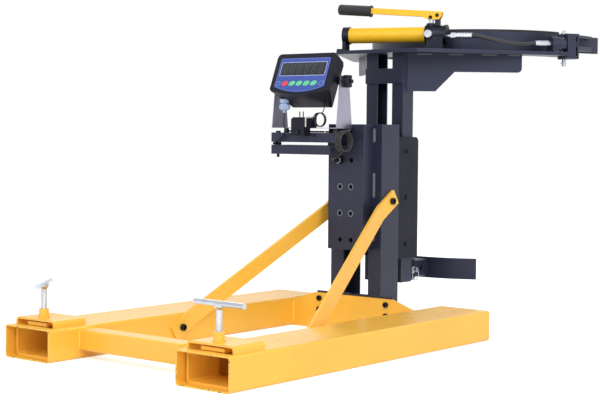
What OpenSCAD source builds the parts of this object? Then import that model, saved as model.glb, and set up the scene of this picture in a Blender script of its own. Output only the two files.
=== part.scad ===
// Fork mounted drum lifter: two fork pockets, a weighing mast, a drum clamp and its hand pump.
// X runs from the pocket mouths towards the drum, Y across, Z up. The origin lies on the floor,
// midway between the pockets, under the middle of the rear cross plate. Near means the -Y side.

/* [Fork pockets] */
// Length of each fork pocket
pocket_len = 1020; // [960:5:1200]
// Outer width of a pocket tube
pocket_w = 160; // [150:1:180]
// Outer height of a pocket tube
pocket_h = 80; // [74:1:90]
// Wall of a pocket tube
pocket_wall = 4; // [3:0.5:6]
// Outer corner radius of a pocket tube
pocket_r = 8; // [7:0.5:12]
// Distance between the pocket centrelines
pocket_pitch = 578; // [540:1:640]
// Distance from the rear cross plate to the pocket mouths
mouth_dist = 906; // [880:1:940]
// Distance from the mouths to the front crossbar
bar_setback = 95; // [40:1:150]
// Depth of the front crossbar along the pockets
bar_depth = 55; // [40:1:80]
// Height of the front crossbar
bar_h = 50; // [30:1:54]
// Floor clearance of the front crossbar
bar_z = 22; // [8:1:24]
// Wall of the front crossbar
bar_wall = 4; // [3:0.5:6]
// Thickness of the rear cross plate
cross_t = 8; // [6:1:12]
// Height of the rear cross plate
cross_h = 100; // [96:1:120]
// Height of the cross plate where it meets the pockets
cross_end_h = 75; // [50:1:78]
// Half width of the cross plate's level top edge
cross_flat = 135; // [131:1:160]

/* [Fork clamps] */
// Distance from the mouths to a clamp ring
ring_setback = 25; // [10:1:60]
// Length of a clamp ring along the fork
ring_len = 100; // [80:1:140]
// Outer width of a clamp ring
ring_w = 140; // [100:1:141]
// Wall of a clamp ring
ring_wall = 5; // [4:0.5:6]
// Height of a clamp ring's top above the floor
ring_top = 98; // [96:1:115]
// Outer corner radius of a clamp ring
ring_r = 10; // [8:0.5:14]
// Distance from a ring's front edge to its screw
screw_inset = 28; // [26:1:60]
// Diameter of the clamp screws
screw_d = 14; // [12:1:20]
// Length of a clamp screw above the pressure pad
screw_len = 92; // [75:1:130]
// Height of the threaded boss on a clamp ring
boss_h = 22; // [15:1:30]
// Diameter of the threaded boss
boss_d = 24; // [22:1:32]
// Length of a tee bar
tee_len = 150; // [100:1:200]
// Diameter of a tee bar
tee_d = 13; // [10:1:16]
// Direction of the near tee bar
tee_turn_near = 88; // [0:1:180]
// Direction of the far tee bar
tee_turn_far = 38; // [0:1:180]
// Length of a pressure pad
pad_len = 46; // [34:1:50]
// Width of a pressure pad
pad_w = 70; // [50:1:100]
// Thickness of a pressure pad
pad_t = 8; // [7:0.5:10]
// Gap from a raised pad to its ring
pad_gap = 4; // [2:0.5:5]

/* [Outer mast] */
// Thickness of the mast base plate
base_t = 6; // [5:1:12]
// Half width of the mast base plate
base_half = 130; // [125:1:131]
// Height of the mast base plate
base_h = 105; // [102:1:140]
// Depth of an outer post along X
post_web = 80; // [70:1:100]
// Width of an outer post's flanges
post_flange = 43; // [38:1:44]
// Thickness of an outer post
post_t = 5; // [4:0.5:7]
// Distance from the middle to an outer post's outer face
post_half = 86; // [85:1:95]
// Height of the outer posts
post_h = 572; // [560:1:620]
// Width of the load cell housing
box_w = 120; // [110:1:130]
// Depth of the load cell housing
box_depth = 48; // [46:1:60]
// Wall of the load cell housing
box_t = 5.5; // [4:0.5:6.5]
// Height of the housing's lower edge
box_z = 230; // [200:1:240]
// Number of hole rows in the housing
rows = 5; // [4:1:5]
// Height of the lowest hole row
first_row = 257; // [250:1:262]
// Distance between the hole rows
row_pitch = 72.5; // [70:0.5:73]
// Distance between the two hole columns
col_pitch = 37; // [30:0.5:44]
// Diameter of the housing's open holes
row_hole_d = 14; // [10:0.5:18]
// Thickness of the guide cheeks
cheek_t = 8; // [6:1:12]
// Distance from the middle to a guide cheek
cheek_half = 67; // [66:0.5:70]
// Length of a guide cheek along X
cheek_len = 108; // [104:1:130]
// Height of a guide cheek's lower edge
cheek_z = 200; // [170:1:215]
// Height of a guide cheek's upper edge
cheek_top = 538; // [525:1:560]

/* [Braces] */
// Width of a brace's flat bar
brace_w = 43; // [36:1:56]
// Thickness of a brace's flat bar
brace_t = 8; // [5:1:10]
// Distance from the cross plate forward to a brace's lower bolt
brace_x = 464; // [350:1:480]
// Height of a brace's lower bolt
brace_z = 42; // [30:1:50]
// Height of a brace's upper bolt
brace_top_z = 363; // [300:1:420]
// Distance from the upper brace bolt to the posts' front face
brace_in = 39; // [30:1:60]
// Diameter of the frame's bolts
bolt_d = 12; // [8:1:14]

/* [Weighing mast] */
// Depth of an inner post along X
inner_web = 50; // [45:1:60]
// Width of an inner post's flanges
inner_flange = 37; // [30:1:37]
// Thickness of an inner post
inner_t = 4.5; // [4:0.5:6]
// Distance from the middle to an inner post's outer face
inner_half = 63; // [62:0.5:63]
// Gap from the outer posts to the inner posts
mast_gap = 47; // [40:1:54]
// Height of the inner posts' lower ends
inner_z = 130; // [110:1:131]
// Running gap between the guide pads and the inner posts
run_gap = 0.1; // [0.05:0.05:0.3]
// Width of the load cell
cell_w = 60; // [56:1:70]
// Thickness of the load cell
cell_t = 30; // [20:1:32]
// Height of the load cell's lower end
cell_z = 305; // [300:1:315]
// Length of the load cell
cell_h = 200; // [180:1:215]
// Width of the hanger arm
hanger_w = 44; // [30:1:60]
// Height of the hanger arm
hanger_h = 40; // [25:1:50]

/* [Top plate] */
// Height of the top plate's underside
plate_z = 771; // [760:1:800]
// Thickness of the top plate
plate_t = 10; // [8:1:12]
// Distance from the outer posts' front to the plate's front edge
plate_front = 84; // [70:1:100]
// Half width of the plate's front edge
plate_half = 140; // [120:1:160]
// Length of the plate's slanted edges along X
wing_run = 400; // [380:1:430]
// Half width of the plate across its wings
wing_half = 385; // [378:1:400]
// Distance from the cross plate to the drum's middle
drum_x = 589; // [580:1:600]
// Radius of the drum that the clamp grips
drum_r = 292; // [289:1:293]
// Thickness of the rubber linings
lining_t = 8; // [6:1:10]
// Height of the rubber linings above the plate
lining_h = 64; // [50:1:70]
// Thickness of the steel clamp band
band_t = 6; // [5:1:8]
// Height of the steel clamp band
band_h = 57; // [45:1:62]
// Angle of the band's far end beyond the middle
band_far = 110; // [95:1:120]
// Angle of the band's near end beyond the middle
band_near = 90; // [80:1:90]
// Thickness of the webs under the plate
web_t = 8; // [6:1:10]
// Depth of a web at the mast
web_deep = 105; // [90:1:120]
// Depth of a web's outer stretch
web_shallow = 50; // [35:1:60]
// Length of a web's deep stretch
web_step = 70; // [50:1:90]
// Run of a web's slope
web_slope = 55; // [30:1:80]
// Length of a web
web_len = 318; // [290:1:330]

/* [Jaw and cylinder] */
// Jaw pivot's place along X
pivot_x = 524; // [520:1:528]
// Jaw pivot's distance from the middle
pivot_y = 350; // [346:1:354]
// Diameter of the pivot pin
pivot_d = 12; // [10:1:13]
// Angle that the jaw swings from open to closed
jaw_swing = 25; // [15:1:28]
// Angle of the cylinder from the X axis
cyl_turn = 31; // [29:1:32]
// Distance from the pivot to the cylinder's axis
cyl_offset = 32; // [31:0.5:34]
// Height of the cylinder's axis above the plate
cyl_rise = 22; // [21.5:0.5:24]
// Diameter of the cylinder's nose
nose_d = 34; // [32:1:36]
// Length of the cylinder's nose
nose_len = 16; // [12:1:20]
// Diameter of the cylinder's barrel
barrel_d = 42; // [38:1:42]
// Length of the cylinder's barrel
barrel_len = 26; // [22:1:40]
// Diameter of the cylinder's rod
rod_d = 28; // [22:1:28]
// Length of the rod that shows at rest
rod_out = 7; // [5:0.5:9]
// Half the length of the jaw's heel block along the cylinder
heel_half = 13; // [12:0.5:14]
// Half the width of the jaw's heel block
heel_w = 12; // [10:0.5:12]
// Thickness of the jaw's lugs
lug_t = 8; // [6:0.5:8]
// Gap between the jaw's lower lug and the plate
lug_gap = 1; // [0.5:0.5:4]
// Height of the jaw's upper lug above the plate
lug_rise = 44; // [44:1:46]
// Height of the jaw strip's lower edge above the plate
strip_rise = 4; // [3:1:8]
// Height of the jaw strip
strip_h = 47; // [40:1:50]
// Angle from the band's middle to the start of the jaw strip
strip_from = 95; // [94:1:97]
// Angle from the band's middle to the end of the jaw strip
strip_to = 109; // [104:1:114]

/* [Hand pump] */
// Place of the pump's rear end along X
pump_x = 134; // [125:1:145]
// Place of the pump's rear end across
pump_y = 124; // [115:1:130]
// Height of the pump's axis above the plate
pump_rise = 44; // [40:1:50]
// Angle of the pump from the X axis
pump_turn = 70; // [66:1:74]
// Diameter of the oil reservoir
tank_d = 44; // [36:1:50]
// Length of the oil reservoir
tank_len = 229; // [200:1:250]
// Diameter of the end cap
cap_d = 50; // [46:1:54]
// Length of the pump head
head_len = 61; // [58:1:70]
// Diameter of the pump head
head_d = 54; // [48:1:56]
// Distance from the head's rear face to the plunger
plunger_at = 14; // [13:1:20]
// Diameter of the plunger
plunger_d = 14; // [12:1:15]
// Height of the handle's fulcrum above the pump's axis
fulcrum_rise = 53; // [51:1:56]
// Distance from the fulcrum to the plunger pin along the pump
link_run = 19; // [18:0.5:21]
// Drop from the fulcrum to the plunger pin
link_drop = 6.5; // [5:0.5:7]
// Diameter of the handle's two pins
link_pin_d = 8; // [6:0.5:8]
// Length of the handle from its fulcrum
handle_len = 292; // [240:1:330]
// Rise of the handle from level
handle_rise = 3.9; // [3:0.1:8]
// Width of the handle's channel
handle_w = 20; // [20:1:24]
// Wall of the handle's channel
handle_t = 3; // [2:0.5:3]
// Length of the grip
grip_len = 99; // [90:1:120]
// Diameter of the grip
grip_d = 30; // [24:1:32]
// Outer diameter of the hose
hose_d = 12; // [11:1:14]

/* [Lower arm] */
// Width and height of the arm's square tube
stub_w = 50; // [44:1:50]
// Wall of the arm's square tube
stub_t = 4; // [3:0.5:5]
// Height of the arm's middle
arm_z = 158; // [156:1:165]
// Length of the receiver
receiver_len = 63; // [55:1:75]
// Wall of the receiver
receiver_t = 6.5; // [5:0.5:8]
// Height of the curved rest plate
rest_h = 60; // [52:1:80]
// Half angle of the curved rest plate
rest_angle = 33; // [20:1:40]
// Distance that the rest plate is drawn out
rest_out = 31.5; // [25:0.5:40]
// Diameter of the lock pin
lock_d = 12; // [8:1:14]
// Distance from the inner posts to the lock pin
lock_in = 49; // [30:1:50]
// Distance from the lock pin to the spare hole
spare_pitch = 55; // [35:1:60]

/* [Indicator] */
// Depth of the tray and of its arm
tray_d = 70; // [60:1:80]
// Length of the tray
tray_len = 236; // [230:1:250]
// Place of the tray's outer end across
tray_end = 206; // [200:1:215]
// Height of the tray
tray_h = 26; // [20:1:30]
// Sheet thickness of the tray
tray_t = 3; // [2:0.5:4]
// Height of the arm
arm_h = 25; // [18:1:30]
// Thickness of the arm
arm_t = 4; // [3:0.5:5]
// Gap between the arm and the tray
tray_lift = 8; // [7:0.5:10]
// Height of the arm's lower face
tray_arm_z = 489; // [480:1:492]
// Height of the rubber feet under the stand
foot_h = 12; // [10:1:14]
// Sheet thickness of the stand
stand_t = 2; // [1.5:0.5:3]
// Height of the stand's legs
leg_h = 142; // [138:1:150]
// Width of a leg at its top
leg_top = 38; // [30:1:44]
// Height of the tilt axis above the stand's base
tilt_h = 127; // [124:1:130]
// Width of the indicator's front
case_w = 206; // [196:1:210]
// Slant height of the indicator's front
case_h = 112; // [104:1:120]
// Lean of the indicator's front from upright
case_lean = 22; // [18:1:26]
// Diameter of the clamp knobs
knob_d = 38; // [30:1:40]

/* [Hidden] */
$fn = 48;

// Clearances
pin_gap = 0.05;
bolt_gap = 0.5;
weld_gap = 0.3;

// Colours
yellow = "#f2b01e";
dark = "#2b2c34";
zinc = "#c9ccd1";
black = "#1b1b1d";
rubber = "#151516";
steel = "#a8abb0";

// Frame levels and places
mouth_x = -mouth_dist;
pocket_y = pocket_pitch / 2;
pocket_inner_y = pocket_y - pocket_w / 2;
ring_x = mouth_x + ring_setback;
screw_x = ring_x + screw_inset;
pad_top = ring_top - ring_wall - pad_gap;
base_x = cross_t / 2;
post_x = base_x + base_t;
post_back = post_x + post_web;
box_x = post_x - box_depth;
back_t = 10;
cell_x = box_x + box_t + back_t;
cell_top = cell_z + cell_h;
inner_x = post_back + mast_gap;
inner_back = inner_x + inner_web;
plate_top = plate_z + plate_t;
plate_x = post_x + plate_front;
band_r = drum_r + lining_t;
brace_x1 = post_x + brace_in;
cross_bolts = [[115, 85], [115, 54]];
cell_rows = [1, 2];
cell_screw_d = 12;
cell_head_d = 18;
cheek_rows = [0.115, 0.503, 0.882];
cheek_screw_x = 8;
guide_lip = 10;
guide_h = 44;
crosspiece_z = plate_z - 84;
crosspiece_h = 42;
crosspiece_half = inner_half - guide_lip - 3;
hanger_plate_t = 8;
web_turn = 43.65;
web_x = inner_x + 32;

// Unit vectors of the cylinder's axis and of its outward side
cyl_dir = [cos(cyl_turn), -sin(cyl_turn)];
cyl_side = [-sin(cyl_turn), -cos(cyl_turn)];
pivot = [pivot_x, -pivot_y];
function from_pivot(along, out) = pivot + along * cyl_dir + out * cyl_side;
cyl_z = plate_top + cyl_rise;
heel_in = cyl_offset - heel_w;
heel_out = cyl_offset + heel_w;
plate_nose = heel_half + 1;
slot_w = 5;
spine_x = heel_half + slot_w;
spine_t = 5;
lug_r = 18;
nose_front = -heel_half - rod_out;
barrel_front = nose_front - nose_len;
barrel_back = barrel_front - barrel_len;
rod_back = barrel_back + 8;
sleeve_d = pivot_d + 4;

// Hand pump stations along its axis, from the front of the end cap
cap_len = 13;
cap_back = -16;
tank_from = cap_back + cap_len;
head_from = tank_from + tank_len;
head_to = head_from + head_len;
plunger_s = head_from + plunger_at;
fulcrum_s = plunger_s + link_run;
pump_z = plate_top + pump_rise;
gland_top = 31;
ear_t = handle_w - 2 * handle_t - 2;
lever_len = handle_len - grip_len;
handle_top = 10.8;
slot_run = 2.4;

// Hose fittings: lengths of the nipple, the hexagon and the ferrule
pump_fitting = [10, 14, 46];
cyl_fitting = [4, 10, 36];
ferrule_d = hose_d + 4;
hex_af = 16;
nipple_d = 10;
port_drop = 5;

// Lower arm
receiver_gap = 0.3;
receiver_w = stub_w + 2 * receiver_t;
rest_t = 8;
rest_x = drum_x + rest_out;
rest_outer = drum_r + rest_t;
lock_x = inner_back + lock_in;

// Indicator
tray_x = box_x - tray_d - 2;
tray_z = tray_arm_z + arm_h + tray_lift;
tray_top = tray_z + tray_h;
stand_z = tray_top + foot_h;
stand_x = tray_x + tray_d / 2 - 1;
leg_y0 = tray_end - tray_len + 7;
leg_y1 = tray_end - 1;
tilt_x = stand_x + 5;
tilt_z = stand_z + tilt_h;
case_y = (leg_y0 + leg_y1) / 2;
front_x = tilt_x - 42;
front_z = tilt_z + 29;
front_top = 51.5;
bolt_x = tray_x + 13;
bolt_y = tray_end - 14;
charger_y = 89;
charger_w = 46;

// Rounded rectangle from bottom to top, its lower edge bulging by sag
module bulged(w, bottom, top, r, sag) {
    reach = w / 2 - r;
    big = (reach * reach + sag * sag) / (2 * sag);
    translate([0, (bottom + top) / 2]) rounded(w, top - bottom, r);
    intersection() {
        translate([0, bottom - sag + big]) circle(big, $fn = 160);
        translate([-reach, bottom - sag]) square([2 * reach, sag + 1]);
    }
}

// Rounded rectangle centred on the origin
module rounded(w, h, r) {
    square([w, h - 2 * r], center = true);
    square([w - 2 * r, h], center = true);
    for (x = [-1, 1], y = [-1, 1])
        translate([x * (w / 2 - r), y * (h / 2 - r)]) circle(r);
}

// A rounded rectangle with its wall
module hollow(w, h, r, t) {
    difference() {
        rounded(w, h, r);
        rounded(w - 2 * t, h - 2 * t, max(r - t, 0.5));
    }
}

// A channel section open towards +X, its web's outer face on the origin
module channel(web, flange, t) {
    translate([0, -web / 2]) square([t, web]);
    translate([0, -web / 2]) square([flange, t]);
    translate([0, web / 2 - t]) square([flange, t]);
}

// Extrudes a YZ outline along X
module along_x(x, len) {
    translate([x, 0, 0]) rotate([90, 0, 90]) linear_extrude(len) children();
}

// Extrudes an XZ outline along Y
module along_y(y, len) {
    translate([0, y + len, 0]) rotate([90, 0, 0]) linear_extrude(len) children();
}

// A rod along Y with its end at y
module rod_y(y, len, d) {
    translate([0, y, 0]) rotate([-90, 0, 0]) cylinder(h = len, d = d);
}

// A rod along X with its end at x
module rod_x(x, len, d) {
    translate([x, 0, 0]) rotate([0, 90, 0]) cylinder(h = len, d = d);
}

// A ring sector about the drum's axis, angles counted from the mast
module drum_arc(cx, r0, r1, z, h, from, to) {
    translate([cx, 0, z]) rotate([0, 0, 180 + from])
        rotate_extrude(angle = to - from, $fn = 96)
            translate([r0, 0]) square([r1 - r0, h]);
}

// Carries the jaw's frame, X along the rod, to its open place
module at_pivot() {
    translate([pivot_x, -pivot_y, 0]) rotate([0, 0, -cyl_turn]) children();
}

// Carries a solid drawn for the closed jaw to its open place
module opened() {
    translate(pivot) rotate([0, 0, -jaw_swing]) translate(-pivot) children();
}

// Carries the pump's frame, X along its axis, Z up, to its place on the plate
module at_pump() {
    translate([pump_x, pump_y, pump_z]) rotate([0, 0, -pump_turn]) children();
}

// Carries the handle's frame, X from the fulcrum to the grip, to its place
module at_handle() {
    at_pump() translate([fulcrum_s, 0, fulcrum_rise])
        rotate([0, handle_rise, 0]) rotate([0, 0, 180]) children();
}

// Carries the indicator's frame, X across the front and Y up its slope, to its place
module at_front() {
    translate([front_x, case_y, front_z]) rotate([0, 0, -90])
        rotate([90 - case_lean, 0, 0]) children();
}

// Fork pocket with the slot that the clamp ring rises through
module fork_pocket(side) {
    color(yellow) difference() {
        translate([0, side * pocket_y, pocket_h / 2])
            along_x(mouth_x, pocket_len)
                hollow(pocket_w, pocket_h, pocket_r, pocket_wall);
        translate([
            ring_x - weld_gap,
            side * pocket_y - ring_w / 2 - weld_gap,
            pocket_h - pocket_wall - 1
        ])
            cube([ring_len + 2 * weld_gap, ring_w + 2 * weld_gap, pocket_wall + 2]);
        translate([-brace_x, 0, brace_z]) mirror([0, side > 0 ? 0 : 1, 0])
            rod_y(pocket_inner_y - 1, pocket_wall + 2, bolt_d + bolt_gap);
    }
}

module front_crossbar() {
    color(yellow) translate([mouth_x + bar_setback + bar_depth / 2, 0, bar_z + bar_h / 2])
        along_y(-pocket_inner_y, 2 * pocket_inner_y) hollow(bar_depth, bar_h, 6, bar_wall);
}

// Cross plate between the pockets, its top edge sloping down to them
module rear_cross_plate() {
    color(yellow) difference() {
        along_x(-cross_t / 2, cross_t) polygon([
            [-pocket_inner_y, 0], [pocket_inner_y, 0], [pocket_inner_y, cross_end_h],
            [cross_flat, cross_h], [-cross_flat, cross_h], [-pocket_inner_y, cross_end_h]
        ]);
        cross_bolt_holes();
    }
}

module cross_bolt_holes() {
    for (side = [-1, 1], b = cross_bolts)
        translate([0, side * b[0], b[1]])
            rod_x(-cross_t, 2 * cross_t + base_t + 5, bolt_d - 2 + bolt_gap);
}

// Closed ring of flat bar that stands on the pocket's floor, with the screw's boss
module clamp_ring(side) {
    ring_h = ring_top - pocket_wall;
    color(yellow) translate([0, side * pocket_y, 0]) difference() {
        union() {
            translate([0, 0, pocket_wall + ring_h / 2])
                along_x(ring_x, ring_len) hollow(ring_w, ring_h, ring_r, ring_wall);
            translate([screw_x, 0, ring_top - 0.5]) cylinder(h = 4.5, d = boss_d + 6);
            translate([screw_x, 0, ring_top - 0.5]) cylinder(h = boss_h + 0.5, d = boss_d);
        }
        translate([screw_x, 0, ring_top - ring_wall - 1])
            cylinder(h = boss_h + ring_wall + 2, d = screw_d + 2 * pin_gap);
    }
}

journal_d = screw_d - 4;
journal_h = 5;

module pressure_pad(side) {
    color(steel) translate([screw_x, side * pocket_y, pad_top - pad_t]) difference() {
        linear_extrude(pad_t) rounded(pad_len, pad_w, 4);
        translate([0, 0, pad_t - journal_h])
            cylinder(h = journal_h + 1, d = journal_d + 2 * pin_gap);
    }
}

// Screw with its swivel journal and collar, and the tee bar lying in the collar
module clamp_screw(side, turn) {
    collar_h = 14;
    color(zinc) translate([screw_x, side * pocket_y, pad_top]) {
        difference() {
            union() {
                translate([0, 0, 0.5 - journal_h]) cylinder(h = journal_h, d = journal_d);
                cylinder(h = screw_len, d = screw_d);
                translate([0, 0, screw_len - collar_h])
                    cylinder(h = collar_h / 2, d1 = screw_d, d2 = screw_d + 10);
                translate([0, 0, screw_len - collar_h / 2])
                    cylinder(h = collar_h / 2, d = screw_d + 10);
            }
            translate([0, 0, screw_len]) rotate([0, 0, turn])
                rod_x(-tee_len / 2, tee_len, tee_d);
        }
        translate([0, 0, screw_len]) rotate([0, 0, turn])
            rod_x(-tee_len / 2, tee_len, tee_d);
    }
}

module mast_base_plate() {
    color(dark) difference() {
        along_x(base_x, base_t) translate([-base_half, 0]) square([2 * base_half, base_h]);
        cross_bolt_holes();
    }
}

// Outer post, a channel open towards the middle
module mast_post(side) {
    color(dark) difference() {
        mirror([0, side > 0 ? 0 : 1, 0]) translate([post_x + post_web / 2, post_half, 0])
            rotate([0, 0, -90]) linear_extrude(post_h) channel(post_web, post_flange, post_t);
        translate([brace_x1, 0, brace_top_z]) mirror([0, side > 0 ? 0 : 1, 0])
            rod_y(post_half - post_t - 1, post_t + 2, bolt_d + bolt_gap);
    }
}

function row_z(i) = first_row + i * row_pitch;

// Housing welded to the front of the outer posts, with its hole rows and backing plate
module load_cell_housing() {
    back_z = row_z(cell_rows[0]) - 30;
    back_h = row_z(cell_rows[1]) + 30 - back_z;
    color(dark) difference() {
        union() {
            translate([box_x, 0, box_z]) linear_extrude(post_h - box_z)
                channel(box_w, box_depth, box_t);
            along_x(box_x + box_t - 0.5, back_t + 0.5)
                translate([-box_w / 2 + box_t + 8, back_z])
                    square([box_w - 2 * box_t - 16, back_h]);
        }
        for (i = [0:rows - 1], side = [-1, 1]) {
            screwed = i == cell_rows[0] || i == cell_rows[1];
            translate([0, side * col_pitch / 2, row_z(i)]) {
                rod_x(box_x - 1, box_t + 1, screwed ? cell_head_d + 3 : row_hole_d);
                rod_x(box_x - 1, box_t + back_t + 2,
                    (screwed ? cell_screw_d : row_hole_d - 4) + bolt_gap);
            }
        }
    }
}

// Bending beam with its two milled bores, upright behind the housing
module load_cell() {
    bore_d = cell_w * 0.42;
    bore_z = cell_z + cell_h - 62;
    color(steel) difference() {
        along_x(cell_x, cell_t) translate([-cell_w / 2, cell_z]) square([cell_w, cell_h]);
        translate([cell_x + cell_t / 2, 0, bore_z]) {
            for (z = [-1, 1])
                translate([0, 0, z * 16]) rod_y(-cell_w, 2 * cell_w, cell_t - 10);
            along_y(-cell_w, 2 * cell_w) square([6, 32], center = true);
        }
        for (i = cell_rows, side = [-1, 1])
            translate([0, side * col_pitch / 2, row_z(i)])
                rod_x(cell_x - 1, 17, cell_screw_d + bolt_gap);
    }
}

function cheek_row_z(f) = cheek_z + f * (cheek_top - cheek_z);

// Plates behind the outer posts that carry the guide pads
module guide_cheeks() {
    r = 14;
    color(dark) for (side = [-1, 1]) mirror([0, side > 0 ? 0 : 1, 0]) difference() {
        along_y(cheek_half, cheek_t) translate([post_back, 0]) {
            translate([0, cheek_z]) square([cheek_len, cheek_top - cheek_z - r]);
            translate([0, cheek_z]) square([cheek_len - r, cheek_top - cheek_z]);
            translate([cheek_len - r, cheek_top - r]) circle(r);
        }
        for (f = cheek_rows)
            translate([inner_x + cheek_screw_x, 0, cheek_row_z(f)])
                rod_y(cheek_half - 1, cheek_t + 2, 6 + bolt_gap);
    }
}

// Nylon guides that wrap the inner posts' webs
module guide_pads() {
    base = cheek_half - inner_half - run_gap;
    color("#d8d4c8") for (side = [-1, 1], f = cheek_rows)
        mirror([0, side > 0 ? 0 : 1, 0]) difference() {
            translate([inner_x - guide_lip, inner_half - guide_lip, cheek_row_z(f) - guide_h / 2])
                cube([inner_web + 2 * guide_lip, guide_lip + run_gap + base, guide_h]);
            translate([
                inner_x - run_gap, inner_half - guide_lip - 1, cheek_row_z(f) - guide_h / 2 - 1
            ])
                cube([inner_web + 2 * run_gap, guide_lip + 1 + run_gap, guide_h + 2]);
            translate([inner_x + cheek_screw_x, 0, cheek_row_z(f)])
                rod_y(cheek_half - base / 2, base, 6 + bolt_gap);
        }
}

// Socket screws of the load cell and of the guide pads
module mast_screws() {
    base = cheek_half - inner_half - run_gap;
    color(dark) {
        for (i = cell_rows, side = [-1, 1])
            translate([0, side * col_pitch / 2, row_z(i)]) difference() {
                union() {
                    rod_x(box_x + 1, box_t - 1, cell_head_d);
                    rod_x(box_x + box_t - 0.5, back_t + 15, cell_screw_d);
                }
                translate([box_x, 0, 0]) rotate([0, 90, 0])
                    cylinder(h = 4.5, d = 10, $fn = 6);
            }
        for (side = [-1, 1], f = cheek_rows)
            mirror([0, side > 0 ? 0 : 1, 0])
                translate([inner_x + cheek_screw_x, 0, cheek_row_z(f)]) {
                    rod_y(cheek_half - base / 2, cheek_t + base / 2, 6);
                    rod_y(cheek_half + cheek_t, 4, 12);
                }
    }
}

brace_rise = brace_top_z - brace_z;
brace_run = brace_x + brace_x1;
brace_span = sqrt(brace_rise * brace_rise + brace_run * brace_run);
brace_turn = atan2(brace_rise, brace_run);

// Flat bars bent near both ends, from the pockets' inner walls to the outer posts
module braces() {
    y0 = pocket_inner_y - brace_t;
    y1 = post_half;
    t = brace_t;
    tip = 23;
    color(yellow) for (side = [-1, 1]) mirror([0, side > 0 ? 0 : 1, 0])
        translate([-brace_x, 0, brace_z]) rotate([0, -brace_turn, 0]) difference() {
            translate([0, 0, -brace_w / 2]) linear_extrude(brace_w) polygon([
                [-32, y0], [40, y0], [brace_span - 60, y1], [brace_span + tip, y1],
                [brace_span + tip, y1 + t], [brace_span - 58, y1 + t], [42, y0 + t], [-32, y0 + t]
            ]);
            for (x = [0, brace_span])
                translate([x, 0, 0]) rod_y(y1 - 1, y0 + 2 * t - y1, bolt_d + bolt_gap);
        }
}

// Bolt along Y with a hexagon head at its start and a nut at its end
module bolt_y(y, grip, d) {
    translate([0, y, 0]) rotate([-90, 0, 0]) {
        translate([0, 0, -d * 0.6]) difference() {
            cylinder(h = d * 0.6, d = d * 1.5);
            translate([0, 0, -1]) cylinder(h = d * 0.35 + 1, d = d * 0.9, $fn = 6);
        }
        translate([0, 0, -0.5]) cylinder(h = grip + d * 0.6 + 0.5, d = d);
        translate([0, 0, grip]) cylinder(h = d * 0.5, d = d * 1.6, $fn = 6);
    }
}

// Bolts of the braces, of the cross plate and of the indicator's tray
module frame_bolts() {
    color(dark) {
        for (side = [-1, 1]) mirror([0, side > 0 ? 0 : 1, 0]) {
            translate([-brace_x, 0, brace_z])
                bolt_y(pocket_inner_y - brace_t, brace_t + pocket_wall, bolt_d);
            translate([brace_x1, 0, brace_top_z]) mirror([0, 1, 0])
                bolt_y(-post_half - brace_t, brace_t + post_t, bolt_d);
        }
        for (side = [-1, 1], b = cross_bolts)
            translate([0, side * b[0], b[1]]) rotate([0, 0, -90])
                bolt_y(-cross_t / 2, cross_t + base_t, bolt_d - 2);
    }
    color(zinc) translate([bolt_x, bolt_y, 0]) {
        translate([0, 0, tray_arm_z - 9]) cylinder(h = tray_top - tray_arm_z + 9.5, d = 8);
        translate([0, 0, tray_top]) cylinder(h = 5, d = 14, $fn = 6);
        translate([0, 0, tray_arm_z + arm_h - arm_t - 7]) cylinder(h = 7, d = 14, $fn = 6);
    }
}

// Folded sheet open downwards, its outer section w by h
module cover_section(w, h, t) {
    translate([0, h - t]) square([w, t]);
    square([t, h]);
    translate([w - t, 0]) square([t, h]);
}

// Arm welded to the housing's front, with the button that the tray rests on
module indicator_arm() {
    arm_d = box_x - tray_x;
    color(dark) difference() {
        union() {
            translate([tray_x, 0, tray_arm_z])
                along_y(0, tray_end) cover_section(arm_d, arm_h, arm_t);
            translate([tray_x + arm_d / 2, 22, tray_arm_z + arm_h - 0.5])
                cylinder(h = tray_lift + 0.5, d = 20);
        }
        translate([bolt_x, bolt_y, tray_arm_z]) cylinder(h = arm_h + 1, d = 8 + bolt_gap);
        translate([tray_x, 96, tray_arm_z + 11]) rod_x(-1, arm_t + 2, 6);
    }
}

module indicator_tray() {
    color(dark) difference() {
        translate([tray_x, 0, tray_z])
            along_y(tray_end - tray_len, tray_len) cover_section(tray_d, tray_h, tray_t);
        translate([bolt_x, bolt_y, tray_z]) cylinder(h = tray_h + 1, d = 8 + bolt_gap);
        translate([tray_x, 52, tray_z + 18]) rod_x(-1, tray_t + 2, 7);
    }
}

module stand_feet() {
    color(rubber) for (x = [-20, 20], y = [leg_y0 + 14, leg_y1 - 42])
        translate([stand_x + x, y, tray_top]) cylinder(h = foot_h, d1 = 16, d2 = 13);
}

// Bent sheet stand with two tapering legs
module indicator_stand() {
    stand_d = tray_d - 2;
    color("#9c9ba6") difference() {
        union() {
            translate([stand_x - stand_d / 2, leg_y0, stand_z])
                cube([stand_d, leg_y1 - leg_y0, stand_t]);
            for (y = [leg_y0, leg_y1 - stand_t])
                translate([stand_x, 0, stand_z]) along_y(y, stand_t) {
                    polygon([
                        [-stand_d / 2, 0], [stand_d / 2, 0],
                        [leg_top / 2, leg_h - 6], [-leg_top / 2, leg_h - 6]
                    ]);
                    translate([0, leg_h - 6]) rounded(leg_top, 12, 5);
                }
        }
        translate([tilt_x, 0, tilt_z])
            rod_y(leg_y0 - 1, leg_y1 - leg_y0 + 2, 8 + 2 * pin_gap);
    }
}

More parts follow.
